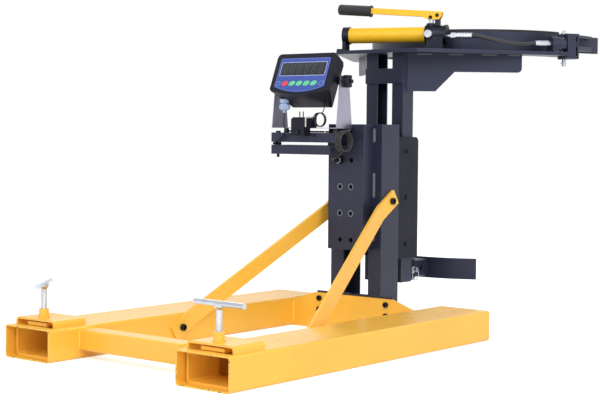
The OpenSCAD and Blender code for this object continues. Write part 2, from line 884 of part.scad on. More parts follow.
// Lever that clamps the tray, its hub between the arm and the tray
module tray_lever() {
    lever_yaw = 196;
    lever_reach = 28;
    color(black) translate([bolt_x, bolt_y, tray_arm_z + arm_h]) difference() {
        union() {
            translate([0, 0, 0.2]) cylinder(h = tray_lift - 0.4, d = 18);
            rotate([0, 0, lever_yaw]) translate([0, 0, tray_lift / 2]) {
                rod_x(5, lever_reach - 5, 6);
                translate([lever_reach, 0, 0]) {
                    sphere(d = 7.4);
                    rotate([0, 0, -lever_yaw - 84]) rotate([0, -34, 0]) {
                        rod_x(0, 40, 6);
                        translate([40, 0, 0]) sphere(d = 9);
                    }
                }
            }
        }
        translate([0, 0, -1]) cylinder(h = tray_lift + 2, d = 8 + 2 * pin_gap);
    }
}

gland_z = row_z(3);
gland_y = col_pitch / 2;
gland_len = 20;

// Gland in an open hole of the housing
module cable_gland() {
    color(black) translate([0, gland_y, gland_z]) difference() {
        union() {
            rod_x(box_x - 8, 8, 22);
            rod_x(box_x - gland_len, gland_len - 7, 16);
            rod_x(box_x - 1, 1 + box_t + 8, row_hole_d - 4);
        }
        rod_x(box_x - gland_len - 1, 12, cable_d + 0.4);
    }
}

cable_d = 4.6;
lead_d = 2.6;

// Smooth curve through a list of points, n steps for each stretch
function curve_at(a, b, c, d, t) = 0.5 * (
    2 * b + (c - a) * t + (2 * a - 5 * b + 4 * c - d) * t * t
    + (3 * b - a - 3 * c + d) * t * t * t
);
function smooth(p, n) = concat(
    [for (i = [0:len(p) - 2], k = [0:n - 1]) curve_at(
        i > 0 ? p[i - 1] : 2 * p[0] - p[1], p[i], p[i + 1],
        i < len(p) - 2 ? p[i + 2] : 2 * p[i + 1] - p[i], k / n
    )],
    [p[len(p) - 1]]
);
function unit(v) = v / norm(v);
function heading(p, i) = unit(
    i == 0 ? p[1] - p[0]
    : i == len(p) - 1 ? p[i] - p[i - 1]
    : unit(p[i + 1] - p[i]) + unit(p[i] - p[i - 1])
);
// A side vector for each point, carried along the path without twist
function sides(p, i, s) = i >= len(p) ? [] : let (
    h = heading(p, i),
    u = unit(s - (s * h) * h)
) concat([u], sides(p, i + 1, u));

// Round tube swept along a path
module tube(p, d, n, start) {
    s = sides(p, 0, start);
    pts = [for (i = [0:len(p) - 1]) let (h = heading(p, i), u = s[i], v = cross(h, u))
        for (k = [0:n - 1]) p[i] + d / 2 * (cos(360 * k / n) * u + sin(360 * k / n) * v)];
    last = len(p) - 1;
    walls = [for (i = [0:last - 1], k = [0:n - 1])
        let (a = i * n + k, b = i * n + (k + 1) % n)
            [[a, b, b + n], [a, b + n, a + n]]];
    polyhedron(points = pts, faces = concat(
        [for (w = walls) w[0]], [for (w = walls) w[1]],
        [[for (k = [0:n - 1]) n - 1 - k]], [[for (k = [0:n - 1]) last * n + k]]
    ));
}

// Loops of a hanging hank, drawn at centre c in the plane of u and v, stepping along w
function loops(c, u, v, w, r, turns, step, from, rings) = [
    for (k = [0:round(turns * rings)]) let (a = from + 360 * k / rings)
        c + r * (cos(a) * u + sin(a) * v) + (k / rings) * step * w
];

// Load cell cable: out of the gland, a hanging coil by the tray's end, over the tray, up to
// the plug
cable_r = 27;
cable_turns = 3.5;
cable_step = cable_d + 0.9;
cable_loops = loops(
    [-105, leg_y0 - 13, 526], [0, 0, -1], [-1, 0, 0], [0, -1, 0],
    cable_r, cable_turns, cable_step, 15, 24
);
gland_end = [box_x - gland_len + 10.5, gland_y, gland_z];
plug_end = [-108, 160, 602];
plug_len = 28;
cable_path = concat(
    smooth([
        gland_end, gland_end - [14, 0, 0], [-75, 15, 475], [-86, 2, 479], [-90, -18, 487],
        [-95, -31, 496], cable_loops[0]
    ], 3),
    [for (i = [1:len(cable_loops) - 2]) cable_loops[i]],
    smooth([
        cable_loops[len(cable_loops) - 1], [-92, -55, 557], [-81, -46, 557], [-76, -32, 555],
        [-75, -14, 552], [-76, 12, 551], [-76, 50, 551], [-76, 100, 551], [-84, 128, 551],
        [-100, 142, 551.5], [-114, 150, 557], [-118, 154, 568], [-115, 158, 580],
        [-109.5, 160, 590], plug_end - [0, 0, 0.4]
    ], 3)
);

function spacing(p, near, far) = min([
    for (i = [0:len(p) - 1 - near]) for (j = [i + near:min(i + far, len(p) - 1)])
        norm(p[i] - p[j])
]);
echo(cable_self_gap = spacing(cable_loops, 12, 60) - cable_d);

module load_cell_cable() {
    color(black) tube(cable_path, cable_d, 6, [0, 0, 1]);
}

// Inner post, a channel open towards the middle
module inner_post(side) {
    color(dark) mirror([0, side > 0 ? 0 : 1, 0])
        translate([inner_x + inner_web / 2, inner_half, inner_z]) rotate([0, 0, -90])
            linear_extrude(plate_z - inner_z) channel(inner_web, inner_flange, inner_t);
}

// Upper crosspiece and the lower one that carries the hanger arm
module mast_crosspieces() {
    color(dark) {
        along_x(inner_x - 6, 6) translate([-inner_half, crosspiece_z])
            square([2 * inner_half, crosspiece_h]);
        along_x(inner_x - hanger_plate_t, hanger_plate_t)
            translate([-crosspiece_half, cell_top - 6])
                square([2 * crosspiece_half, hanger_h + 12]);
    }
}

// Arm from the inner mast onto the load cell
module hanger_arm() {
    x0 = cell_x + 4;
    color(dark) along_x(x0, inner_x - hanger_plate_t - x0)
        translate([-hanger_w / 2, cell_top]) square([hanger_w, hanger_h]);
}

// Plate outline: level front, slanted edges, the near wing cut back round the jaw's pivot
module top_plate() {
    edge_out = heel_out + 1;
    nose_r = lug_r;
    inward = wing_half - band_r;
    wing_end = drum_x - 43;
    color(dark) difference() {
        translate([0, 0, plate_z]) linear_extrude(plate_t) difference() {
            union() {
                polygon([
                    [plate_x, -plate_half], from_pivot(-plate_nose, edge_out),
                    from_pivot(-plate_nose, 0), from_pivot(spine_x - 1, 0),
                    from_pivot(spine_x - 1, -inward), [wing_end, 0],
                    [wing_end, wing_half - 14], [wing_end - 6, wing_half],
                    [plate_x + wing_run, wing_half], [plate_x, plate_half]
                ]);
                translate(pivot) circle(nose_r);
            }
            translate([drum_x, 0]) circle(band_r, $fn = 96);
        }
        translate([pivot_x, -pivot_y, plate_z - 1])
            cylinder(h = plate_t + 2, d = pivot_d + 2 * pin_gap);
    }
}

// Webs from the inner posts out under the wings
module arm_webs() {
    r = 12;
    color(dark) for (side = [-1, 1]) mirror([0, side > 0 ? 0 : 1, 0]) difference() {
        translate([web_x, inner_half + 3, plate_z]) rotate([0, 0, web_turn])
            along_y(-web_t / 2, web_t) {
                polygon([
                    [-20, 0], [-20, -web_deep], [web_step, -web_deep],
                    [web_step + web_slope, -web_shallow], [web_len - r, -web_shallow],
                    [web_len, -web_shallow + r], [web_len, 0]
                ]);
                translate([web_len - r, -web_shallow + r]) circle(r);
            }
        translate([inner_x - 50, inner_half - 50, plate_z - web_deep - 1])
            cube([inner_web + 100, 50, web_deep + 2]);
    }
}

module clamp_band() {
    color(dark) drum_arc(drum_x, band_r, band_r + band_t, plate_top, band_h,
        -band_far, band_near);
}

module band_lining() {
    color(rubber) drum_arc(drum_x, drum_r, band_r, plate_top, lining_h,
        -band_far + 1, band_near - 1);
}

// Square socket on the backs of the inner posts
module arm_receiver() {
    color(dark) difference() {
        translate([0, 0, arm_z]) along_x(inner_back, receiver_len)
            hollow(receiver_w, receiver_w, 6, receiver_t - receiver_gap);
        translate([lock_x, 0, arm_z])
            rod_y(-receiver_w, 2 * receiver_w, lock_d + 2 * pin_gap);
    }
}

// Square tube with its lock holes and the curved rest plate welded to its end
module lower_arm() {
    stub_x = inner_back + 6;
    color(dark) difference() {
        union() {
            difference() {
                translate([0, 0, arm_z]) along_x(stub_x, rest_x - rest_outer - stub_x + 4)
                    hollow(stub_w, stub_w, 5, stub_t);
                translate([rest_x, 0, arm_z - stub_w])
                    cylinder(h = 2 * stub_w, r = rest_outer - 1, $fn = 96);
            }
            drum_arc(rest_x, drum_r, rest_outer, arm_z - rest_h / 2, rest_h,
                -rest_angle, rest_angle);
        }
        for (x = [lock_x, lock_x + spare_pitch])
            translate([x, 0, arm_z]) rod_y(-stub_w, 2 * stub_w, lock_d + 2 * pin_gap);
    }
}

// Lock pin with its head and pull ring
module lock_pin() {
    half = receiver_w / 2;
    ring_r = 15;
    color(zinc) translate([lock_x, 0, arm_z]) {
        difference() {
            union() {
                rod_y(-half - 1, 2 * half + 7, lock_d);
                rod_y(-half - 6, 5.5, lock_d + 8);
                rod_y(-half - 18, 12.5, lock_d);
            }
            translate([0, -half - 12, 0]) rod_x(-lock_d, 2 * lock_d, 4.4);
        }
        translate([0, -half - 12, -ring_r + 0.3]) rotate([90, 0, 0])
            rotate_extrude() translate([ring_r, 0]) circle(d = 3, $fn = 16);
    }
}

// Barrel with its grooved rear and slimmer nose; the rod's bore is open at the front
module clamp_cylinder() {
    groove = 1.5;
    color(dark) translate([0, 0, cyl_z]) at_pivot() translate([0, -cyl_offset, 0])
        difference() {
            union() {
                rod_x(barrel_front - 0.5, nose_len + 0.5, nose_d);
                rod_x(barrel_back, barrel_len, barrel_d);
            }
            rod_x(rod_back - 4, -rod_back + 4, rod_d + 2 * pin_gap);
            for (x = [barrel_front - 6, barrel_front - 18]) difference() {
                rod_x(x - 2, 2, barrel_d + 2);
                rod_x(x - 3, 4, barrel_d - 2 * groove);
            }
        }
}

// Cradle welded to the plate under the barrel
module cylinder_saddle() {
    color(dark) at_pivot() translate([0, -cyl_offset, 0]) difference() {
        translate([barrel_back + 4, -heel_w, plate_top])
            cube([barrel_len - 8, heel_w + barrel_d / 2 + 5, cyl_rise - 4]);
        translate([0, 0, cyl_z]) rod_x(barrel_back - 1, barrel_len + 2, barrel_d);
    }
}

// Rod with a domed tip that bears on the jaw's heel
module cylinder_rod() {
    tip = 5;
    dome_r = (rod_d * rod_d / 4 + tip * tip) / (2 * tip);
    tip_x = -heel_half - weld_gap;
    color(zinc) translate([0, 0, cyl_z]) at_pivot() translate([0, -cyl_offset, 0]) {
        rod_x(rod_back, tip_x - tip - rod_back, rod_d);
        translate([tip_x - tip, 0, 0]) rotate([0, 90, 0])
            rotate_extrude() intersection() {
                translate([0, tip - dome_r]) circle(dome_r, $fn = 96);
                translate([0, -0.5]) square([rod_d / 2, tip + 1]);
            }
    }
}

// Pivot pin with its head, its split pin and the sleeve between the plate and the upper lug
module pivot_pin() {
    top = plate_top + lug_rise + lug_t;
    bottom = plate_z - lug_gap - lug_t;
    tail = 20;
    color(zinc) translate([pivot_x, -pivot_y, 0]) {
        difference() {
            union() {
                translate([0, 0, bottom - tail])
                    cylinder(h = top - bottom + tail + 1, d = pivot_d);
                translate([0, 0, top]) cylinder(h = 4, d = pivot_d + 8);
                translate([0, 0, top + 3.5]) cylinder(h = 8, d = pivot_d - 2);
            }
            translate([0, 0, bottom - 12]) rod_x(-pivot_d, 2 * pivot_d, 3.4);
        }
        translate([0, 0, bottom - 12]) {
            rod_x(-pivot_d, 2 * pivot_d, 3);
            translate([-pivot_d - 1, 0, 0]) sphere(d = 6);
        }
        translate([0, 0, plate_top]) difference() {
            cylinder(h = lug_rise - weld_gap, d = sleeve_d);
            translate([0, 0, -1]) cylinder(h = lug_rise + 2, d = pivot_d + 2 * pin_gap);
        }
    }
}

// Outline of the jaw's upper lug from the pivot and the heel out to the strip
module lug_outline() {
    circle(lug_r);
    polygon([
        [-4, lug_r - 0.5], [84, 58], [120, 66], [120, 50], [spine_x + spine_t + 22, 0],
        [spine_x + spine_t, -heel_in + 4], [spine_x + spine_t, -heel_out],
        [-heel_half, -heel_out], [-heel_half, -10]
    ]);
}

// Outline of the lower lug
module lug_outline_low() {
    circle(lug_r);
    polygon([
        [0, lug_r], [spine_x, 6], [spine_x + spine_t, -10], [spine_x + spine_t, -heel_out],
        [-heel_half, -heel_out], [-heel_half, -10]
    ]);
}

// Jaw: two lugs, heel block, spine with its bridge, web and the curved strip
module jaw() {
    low = plate_z - lug_gap - lug_t;
    high = plate_top + lug_rise;
    bridge_h = 12;
    web_z = plate_top + strip_rise + 4;
    web_h = 12;
    color(dark) difference() {
        union() {
            at_pivot() {
                translate([0, 0, low]) linear_extrude(lug_t) lug_outline_low();
                translate([-heel_half, -heel_out, low])
                    cube([2 * heel_half, 2 * heel_w, high - low + 1]);
                translate([spine_x, -heel_out, low])
                    cube([spine_t, heel_out - 10, high - low + 1]);
                translate([heel_half - 1, -heel_out + 2, cyl_z - bridge_h / 2])
                    cube([slot_w + 2, 2 * heel_w - 4, bridge_h]);
            }
            difference() {
                at_pivot() {
                    translate([0, 0, high]) linear_extrude(lug_t) lug_outline();
                    translate([0, 0, web_z]) linear_extrude(web_h) difference() {
                        lug_outline();
                        translate([-50, -60]) square([50 + spine_x + 1, 130]);
                    }
                    translate([spine_x, -14, web_z])
                        cube([spine_t, 14, high - web_z + 1]);
                }
                opened() translate([drum_x, 0, plate_top - 1])
                    cylinder(h = 100, r = band_r + band_t - 2, $fn = 96);
            }
            opened() drum_arc(drum_x, band_r, band_r + band_t, plate_top + strip_rise,
                strip_h, strip_from, strip_to);
        }
        translate([pivot_x, -pivot_y, low - 1])
            cylinder(h = high + lug_t - low + 2, d = pivot_d + 2 * pin_gap);
    }
}

module jaw_lining() {
    color(rubber) opened() drum_arc(drum_x, drum_r, band_r, plate_top + strip_rise,
        strip_h, strip_from + 0.5, strip_to - 0.5);
}

module pump_reservoir() {
    color(yellow) at_pump() rod_x(tank_from, tank_len, tank_d);
}

// Rear cap with its foot on the plate
module pump_end_cap() {
    color(black) at_pump() {
        difference() {
            rod_x(cap_back, cap_len + 6, cap_d);
            rod_x(tank_from, 10, tank_d);
        }
        difference() {
            translate([cap_back, -18, -pump_rise]) cube([cap_len - 2, 36, pump_rise]);
            rod_x(cap_back - 1, cap_len + 8, cap_d - 4);
        }
        translate([cap_back - 16, -18, -pump_rise]) cube([20, 36, 6]);
    }
}

// Head with its foot, end disc, plunger gland and fulcrum ear
module pump_head() {
    foot = head_d / 2 - 3;
    color(black) at_pump() difference() {
        union() {
            rod_x(head_from, head_len, head_d - 4);
            rod_x(head_to - 7, 7, head_d);
            rod_x(head_from, 10, head_d);
            translate([head_from + 6, -foot, -pump_rise])
                cube([head_len - 14, 2 * foot, pump_rise]);
            translate([plunger_s, 0, 0]) cylinder(h = gland_top, d = plunger_d + 12);
            along_y(-ear_t / 2, ear_t) {
                translate([fulcrum_s - 7, 0]) square([14, fulcrum_rise]);
                translate([fulcrum_s, fulcrum_rise]) circle(7);
            }
        }
        translate([plunger_s, 0, -4])
            cylinder(h = gland_top + 5, d = plunger_d + 2 * pin_gap);
        translate([fulcrum_s, 0, fulcrum_rise])
            rod_y(-handle_w, 2 * handle_w, link_pin_d + 2 * pin_gap);
        translate([plunger_s, 0, 0]) rod_y(-head_d, head_d - 8, 10 + 2 * pin_gap);
    }
}

// Plunger whose slotted eye follows the handle's pin
module pump_plunger() {
    eye_z = fulcrum_rise - link_drop;
    eye_r = link_pin_d / 2 + 4;
    color(zinc) at_pump() translate([plunger_s, 0, 0]) difference() {
        union() {
            translate([0, 0, 0]) cylinder(h = eye_z - 5, d = plunger_d);
            along_y(-ear_t / 2, ear_t) translate([0, eye_z])
                rounded(2 * (eye_r + slot_run), 2 * eye_r, eye_r - 0.1);
        }
        along_y(-handle_w, 2 * handle_w) translate([0, eye_z])
            rounded(link_pin_d + 2 * slot_run, link_pin_d + 0.7, link_pin_d / 2);
    }
}

// Release valve: knurled zinc knob with a black hub, its stem in the head
module release_valve() {
    color(zinc) at_pump() translate([plunger_s, 0, 0]) difference() {
        union() {
            rod_y(-head_d / 2 - 3, head_d / 2 - 8, 10);
            rod_y(-head_d / 2 - 13, 10.5, 21);
        }
        rod_y(-head_d / 2 - 14, 4, 13);
    }
}

pin_x = link_run * cos(handle_rise) - link_drop * sin(handle_rise);
pin_z = -link_run * sin(handle_rise) - link_drop * cos(handle_rise);

// Pressed channel lever with its tang, and its two pins as separate solids
module handle_lever() {
    color(yellow) at_handle() {
        difference() {
            along_y(-handle_w / 2, handle_w) polygon([
                [-12, handle_top], [-12, -2], [-6, -11], [26, -13], [44, -6],
                [lever_len, -5], [lever_len, handle_top]
            ]);
            along_y(-handle_w / 2 + handle_t, handle_w - 2 * handle_t) polygon([
                [-13, handle_top - handle_t], [-13, -14], [44, -14], [lever_len - 12, -6],
                [lever_len - 12, handle_top - handle_t]
            ]);
            for (p = [[0, 0], [pin_x, pin_z]])
                translate([p[0], 0, p[1]]) rod_y(-handle_w, 2 * handle_w, link_pin_d);
        }
        translate([0, 0, 2]) rod_x(lever_len - 2, grip_len - 8, 12);
    }
    color(dark) at_handle() for (p = [[0, 0], [pin_x, pin_z]])
        translate([p[0], 0, p[1]]) rod_y(-handle_w / 2 - 2, handle_w + 4, link_pin_d);
}

// Grip with its collar and rounded end
module handle_grip() {
    r = grip_d / 2;
    color(rubber) at_handle() translate([lever_len, 0, 2]) rotate([0, 90, 0]) difference() {
        union() {
            cylinder(h = 5, r = r + 1.5);
            translate([0, 0, 4]) cylinder(h = grip_len - 10, r = r);
            translate([0, 0, grip_len - 6]) rotate_extrude() intersection() {
                union() {
                    square([r - 6, 6]);
                    translate([r - 6, 0]) circle(6);
                }
                square([r, 6]);
            }
        }
        translate([0, 0, -1]) cylinder(h = grip_len - 9, d = 12);
    }
}

// Nipple, hexagon and crimped ferrule along +X
module fitting(parts) {
    hex_at = parts[0];
    ferrule_at = hex_at + parts[1];
    difference() {
        union() {
            rod_x(0, hex_at + 1, nipple_d);
            translate([hex_at, 0, 0]) rotate([0, 90, 0])
                cylinder(h = parts[1], d = hex_af / cos(30), $fn = 6);
            rod_x(ferrule_at - 1, parts[2] + 1, ferrule_d);
        }
        rod_x(ferrule_at + 2, parts[2], hose_d + 0.4);
    }
}

module hose_fittings() {
    color(zinc) {
        at_pump() translate([head_to, 0, -port_drop]) fitting(pump_fitting);
        translate([0, 0, cyl_z]) at_pivot() translate([barrel_back, -cyl_offset, 0])
            rotate([0, 0, 180]) fitting(cyl_fitting);
    }
}

// Places on the two fittings' axes, as points of the whole part
function pump_point(s) = [
    pump_x + s * cos(pump_turn), pump_y - s * sin(pump_turn), pump_z - port_drop
];
function cyl_point(s) = [
    from_pivot(s, cyl_offset)[0], from_pivot(s, cyl_offset)[1], cyl_z
];
hose_start = head_to + pump_fitting[0] + pump_fitting[1] + 2.3;
hose_end = barrel_back - cyl_fitting[0] - cyl_fitting[1] - 2.3;

// Hose through hand chosen points between the two fittings
hose_path = concat(
    [pump_point(hose_start)],
    smooth([
        pump_point(hose_start + pump_fitting[2] / 2), pump_point(hose_start + pump_fitting[2]),
        pump_point(hose_start + pump_fitting[2] + 8),
        [272, -243, 815], [294, -265, 808], [322, -282, 802],
        [352, -296, 799], [381, -306, 799], [400, -313, 801],
        cyl_point(hose_end - cyl_fitting[2]), cyl_point(hose_end - cyl_fitting[2] / 2)
    ], 3),
    [cyl_point(hose_end)]
);

module pump_hose() {
    color(black) tube(hose_path, hose_d, 12, [0, 0, 1]);
}

// Sloping front, full width shoulders and a narrow foot, with a boss each side
module indicator_case() {
    rim = 9;
    boss_len = (leg_y1 - leg_y0 - 2 * stand_t - case_w) / 2 - 0.2;
    color(black) {
        hull() {
            at_front() translate([0, 0, -rim]) linear_extrude(rim, $fn = 20)
                bulged(case_w, front_top - case_h, front_top, 12, 9.5);
            translate([tilt_x + 6, case_y, tilt_z + 46])
                cube([8, case_w - 10, 10], center = true);
            translate([tilt_x, case_y, tilt_z - 66]) cube([10, 130, 8], center = true);
        }
        translate([tilt_x, case_y, tilt_z]) for (side = [0, 1]) mirror([0, side, 0])
            rod_y(case_w / 2 - 12, 12 + boss_len, 20);
        translate(plug_end + [0, 0, plug_len + weld_gap]) cylinder(h = 24, d = 16);
        translate(lead_start + [0, 0, weld_gap]) cylinder(h = 16, d = 7);
    }
}

// Printed front panel with the display's frame
module indicator_panel() {
    color("#2f49a8") at_front() {
        difference() {
            linear_extrude(1.4)
                bulged(case_w - 32, front_top + 11 - case_h, front_top - 14, 7, 13.5);
            translate([0, 5, 0.6]) linear_extrude(2) square([case_w - 50, 38], center = true);
        }
    }
}

// Cable plug under the indicator
module indicator_plug() {
    color("#a9c6e4") translate(plug_end) {
        cylinder(h = 9, d1 = 9, d2 = 14);
        translate([0, 0, 8]) cylinder(h = 17, d = 24);
        translate([0, 0, 11]) linear_extrude(10) rounded(12, 34, 4);
        translate([0, 0, 24]) cylinder(h = plug_len - 24, d = 18);
    }
}

// Star knob with its screw through the stand's leg
module knob(side) {
    out = side < 0 ? case_y - leg_y0 : leg_y1 - case_y;
    color(black) translate([tilt_x, case_y, tilt_z]) mirror([0, side > 0 ? 0 : 1, 0]) {
        difference() {
            union() {
                rod_y(out + 0.2, 12, knob_d - 12);
                for (a = [0:60:300]) rotate([0, a, 0])
                    translate([knob_d / 2 - 6, 0, 0]) rod_y(out + 0.2, 12, 11);
            }
            rod_y(out + 10, 4, 12);
        }
        rod_y(out - stand_t - 0.1, stand_t + 2, 8);
    }
}

// Plug-in charger hooked over the stand's front edge, with its two pins upwards
module charger() {
    z = stand_z + stand_t;
    front = stand_x - tray_d / 2;
    drop = 22;
    top = 28;
    color(black) translate([0, charger_y, 0]) {
        along_y(-charger_w / 2, charger_w) {
            translate([front - 27, z - drop]) square([27, drop + top - 4]);
            translate([front - 22, z]) square([49, top]);
        }
        translate([front - 27, 0, z - drop + 10]) rod_x(-4, 10, 14);
    }
    color(zinc) for (y = [-6, 6])
        translate([front - 10, charger_y + y, z + top - 0.5]) cylinder(h = 16, d = 3);
}

// Charger lead: from the indicator down, three loops, into the charger's side
lead_r = 18.5;
lead_turns = 3;
lead_step = lead_d + 0.8;
lead_loops = loops(
    [-90, 45, stand_z + stand_t + lead_r + lead_d + 0.6], [0, 0, 1], [0, 1, 0], [-1, 0, 0],
    lead_r, lead_turns, lead_step, -10, 24
);
lead_start = [-97, 30, 620];
lead_path = concat(
    smooth([lead_start, lead_start - [0, 0, 5], [-95, 33, 609], lead_loops[0]], 3),
    [for (i = [1:len(lead_loops) - 2]) lead_loops[i]],
    smooth([
        lead_loops[len(lead_loops) - 1], [-103, 52.5, 600.5], [-107, 58, 593],
        [-109.5, 59.5, 586], [-110, 62, 581.5], [-110, charger_y - charger_w / 2 - 0.3, 580]
    ], 3)
);
echo(lead_self_gap = spacing(lead_loops, 12, 60) - lead_d);

module charger_lead() {
    color(black) tube(lead_path, lead_d, 6, [1, 0, 0]);
}

fork_pocket(-1);  // fork_pocket_near
fork_pocket(1);  // fork_pocket_far
front_crossbar();
rear_cross_plate();
clamp_ring(-1);  // clamp_ring_near
clamp_ring(1);  // clamp_ring_far
mast_base_plate();
mast_post(-1);  // mast_post_near
mast_post(1);  // mast_post_far
load_cell_housing();
guide_cheeks();
braces();
frame_bolts();
load_cell();
mast_screws();
guide_pads();
indicator_arm();
indicator_tray();
stand_feet();
indicator_stand();
cable_gland();
load_cell_cable();
pressure_pad(-1);  // pressure_pad_near
clamp_screw(-1, tee_turn_near);  // clamp_screw_near
pressure_pad(1);  // pressure_pad_far
clamp_screw(1, tee_turn_far);  // clamp_screw_far
inner_post(-1);  // inner_post_near
inner_post(1);  // inner_post_far
mast_crosspieces();
hanger_arm();
top_plate();
arm_webs();
clamp_band();
band_lining();
arm_receiver();
lower_arm();
clamp_cylinder();
cylinder_saddle();
pump_reservoir();
pump_head();
pump_end_cap();
hose_fittings();
pump_hose();
pivot_pin();
jaw();
jaw_lining();
cylinder_rod();
handle_lever();
handle_grip();
pump_plunger();
release_valve();
lock_pin();
tray_lever();
indicator_case();
indicator_panel();
indicator_plug();
knob(-1);  // knob_near
knob(1);  // knob_far
charger();
charger_lead();
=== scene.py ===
"""Finishes, cords and small details of a forklift drum lifter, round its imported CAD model.

Everything is in metres in the model's own frame: near is -Y, the drum is at +X, the floor is z 0.
"""

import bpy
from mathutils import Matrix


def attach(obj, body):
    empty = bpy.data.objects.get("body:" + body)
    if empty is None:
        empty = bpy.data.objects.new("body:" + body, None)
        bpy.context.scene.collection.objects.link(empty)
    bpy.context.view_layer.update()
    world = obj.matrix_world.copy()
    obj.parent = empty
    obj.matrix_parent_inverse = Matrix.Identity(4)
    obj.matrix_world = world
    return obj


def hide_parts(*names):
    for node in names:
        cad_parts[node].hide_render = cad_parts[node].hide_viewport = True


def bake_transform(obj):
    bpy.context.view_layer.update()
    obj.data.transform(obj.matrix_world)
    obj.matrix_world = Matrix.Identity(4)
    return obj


bl_info = {
    "name": "Forklift Drum Lifter",
    "version": (1, 0, 0),
    "blender": (4, 5, 0),
    "location": "View3D > Sidebar > Drum Lifter",
    "description": "Paint, cords, welds, threads and a weighing display for a drum lifter",
    "category": "Object",
}

import math

import bpy
import numpy as np
from mathutils import Matrix, Vector

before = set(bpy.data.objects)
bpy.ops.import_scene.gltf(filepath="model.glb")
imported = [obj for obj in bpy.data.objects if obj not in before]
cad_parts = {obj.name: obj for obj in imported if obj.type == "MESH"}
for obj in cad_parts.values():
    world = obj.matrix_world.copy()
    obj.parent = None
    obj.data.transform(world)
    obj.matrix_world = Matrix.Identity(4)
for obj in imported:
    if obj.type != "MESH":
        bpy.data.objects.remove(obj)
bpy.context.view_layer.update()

MM = 0.001


def linear(red, green, blue):
    """A screen colour of 0 to 255 as the linear RGBA that sockets take."""
    c = np.array([red, green, blue]) / 255
    c = np.where(c <= 0.04045, c / 12.92, ((c + 0.055) / 1.055) ** 2.4)
    return (*c.tolist(), 1.0)


# Properties that a user would change


def colour(name, text, rgb):
    """A colour property with its default given as a screen colour."""
    return bpy.props.FloatVectorProperty(
        name=name, description=text, subtype="COLOR", size=4, min=0, max=1, default=linear(*rgb))


def measure(name, text, default, low, high):
    """A length property with its default and limits given in millimetres."""
    return bpy.props.FloatProperty(
        name=name, description=text, unit="LENGTH",
        default=default * MM, min=low * MM, max=high * MM)


class DrumLifterColours(bpy.types.PropertyGroup):
    """Colours of the paints, metals and plastics."""

    yellow: colour("Yellow paint", "Satin paint of the fork frame", (252, 193, 70))
    pump: colour("Pump yellow", "Deeper yellow of the oil tank and handle", (255, 198, 34))
    dark: colour("Dark paint", "Bluish dark grey of the mast and the drum clamp", (36, 38, 56))
    worn: colour("Worn metal", "Bare steel that shows where paint is chipped", (78, 66, 55))
    zinc: colour("Zinc", "Plated screws, bars and hose fittings", (196, 200, 208))
    black: colour("Black steel", "Blackened bolts, pins and pump head", (46, 48, 58))
    stainless: colour("Stainless", "Bent sheet of the indicator's stand", (172, 169, 186))
    alloy: colour("Load cell", "Milled alloy of the load cell", (186, 188, 194))
    plastic: colour("Black plastic", "Indicator case, knobs and charger", (22, 22, 30))
    rubber: colour("Rubber", "Clamp linings, feet and grip", (26, 26, 33))
    nylon: colour("Nylon", "Guide pads of the mast", (208, 205, 196))
    panel: colour("Panel blue", "Printed front of the indicator", (58, 82, 168))
    rim: colour("Panel rim", "Pale line round the display and the panel", (158, 172, 218))
    plug: colour("Plug blue", "Cable plug under the indicator", (166, 188, 224))
    green: colour("Green keys", "Green membrane keys", (104, 212, 150))
    red: colour("Red key", "Red membrane key", (236, 66, 66))


class DrumLifterSizes(bpy.types.PropertyGroup):
    """Sizes of the pieces that are added to the model."""

    hose_d: measure("Hose diameter", "Outside of the hydraulic hose", 12.0, 5, 30)
    cable_d: measure("Cable diameter", "Load cell cable", 4.6, 2, 10)
    lead_d: measure("Lead diameter", "Charger lead", 2.6, 1, 6)
    bead_w: measure("Weld width", "Width of a weld bead", 7.0, 2, 15)
    thread_pitch: measure("Thread pitch", "Pitch of the clamp screws' thread", 2.0, 1, 4)
    digit_h: measure("Digit height", "Height of a digit of the display", 27.0, 10, 30)
    wear: bpy.props.FloatProperty(
        name="Wear", description="How much of the paint's edges is chipped",
        default=0.55, subtype="FACTOR", min=0, max=1)
    lamp: bpy.props.FloatProperty(
        name="Lamps", description="Brightness of the studio lamps", default=1.0, min=0, max=4)


def colours():
    return bpy.context.scene.drum_lifter_colours


def sizes():
    return bpy.context.scene.drum_lifter_sizes


# Surfaces


def mm(*values):
    """Numbers or points in millimetres as an array in metres."""
    return np.array(values) * MM


def path_length(path):
    """Distance along a path to each of its points."""
    steps = np.linalg.norm(np.diff(path, axis=0), axis=1)
    return np.concatenate([[0.0], np.cumsum(steps)])


def smooth_path(points, steps):
    """Catmull-Rom curve through the points: on each stretch the cubic whose end slopes are
    half the chord of the neighbours, with reflected points beyond both ends."""
    p = np.asarray(points, float)
    p = np.vstack([2 * p[0] - p[1], p, 2 * p[-1] - p[-2]])
    t = (np.arange(steps) / steps)[None, :, None]
    a, b, c, d = (p[i : len(p) - 3 + i][:, None, :] for i in range(4))
    curve = 0.5 * (
        2 * b + (c - a) * t + (2 * a - 5 * b + 4 * c - d) * t**2
        + (3 * b - a - 3 * c + d) * t**3
    )
    return np.vstack([curve.reshape(-1, 3), p[-2]])


def loops(centre, u, v, w, radius, turns, step, start, per_turn):
    """Helix: centre + radius (cos a u + sin a v) + step w a turn, from the angle start."""
    k = np.arange(round(turns * per_turn) + 1)
    a = np.radians(start) + 2 * math.pi * k / per_turn
    centre, u, v, w = (np.asarray(x, float) for x in (centre, u, v, w))
    return (
        centre + radius * (np.cos(a)[:, None] * u + np.sin(a)[:, None] * v)
        + (k / per_turn * step)[:, None] * w
    )


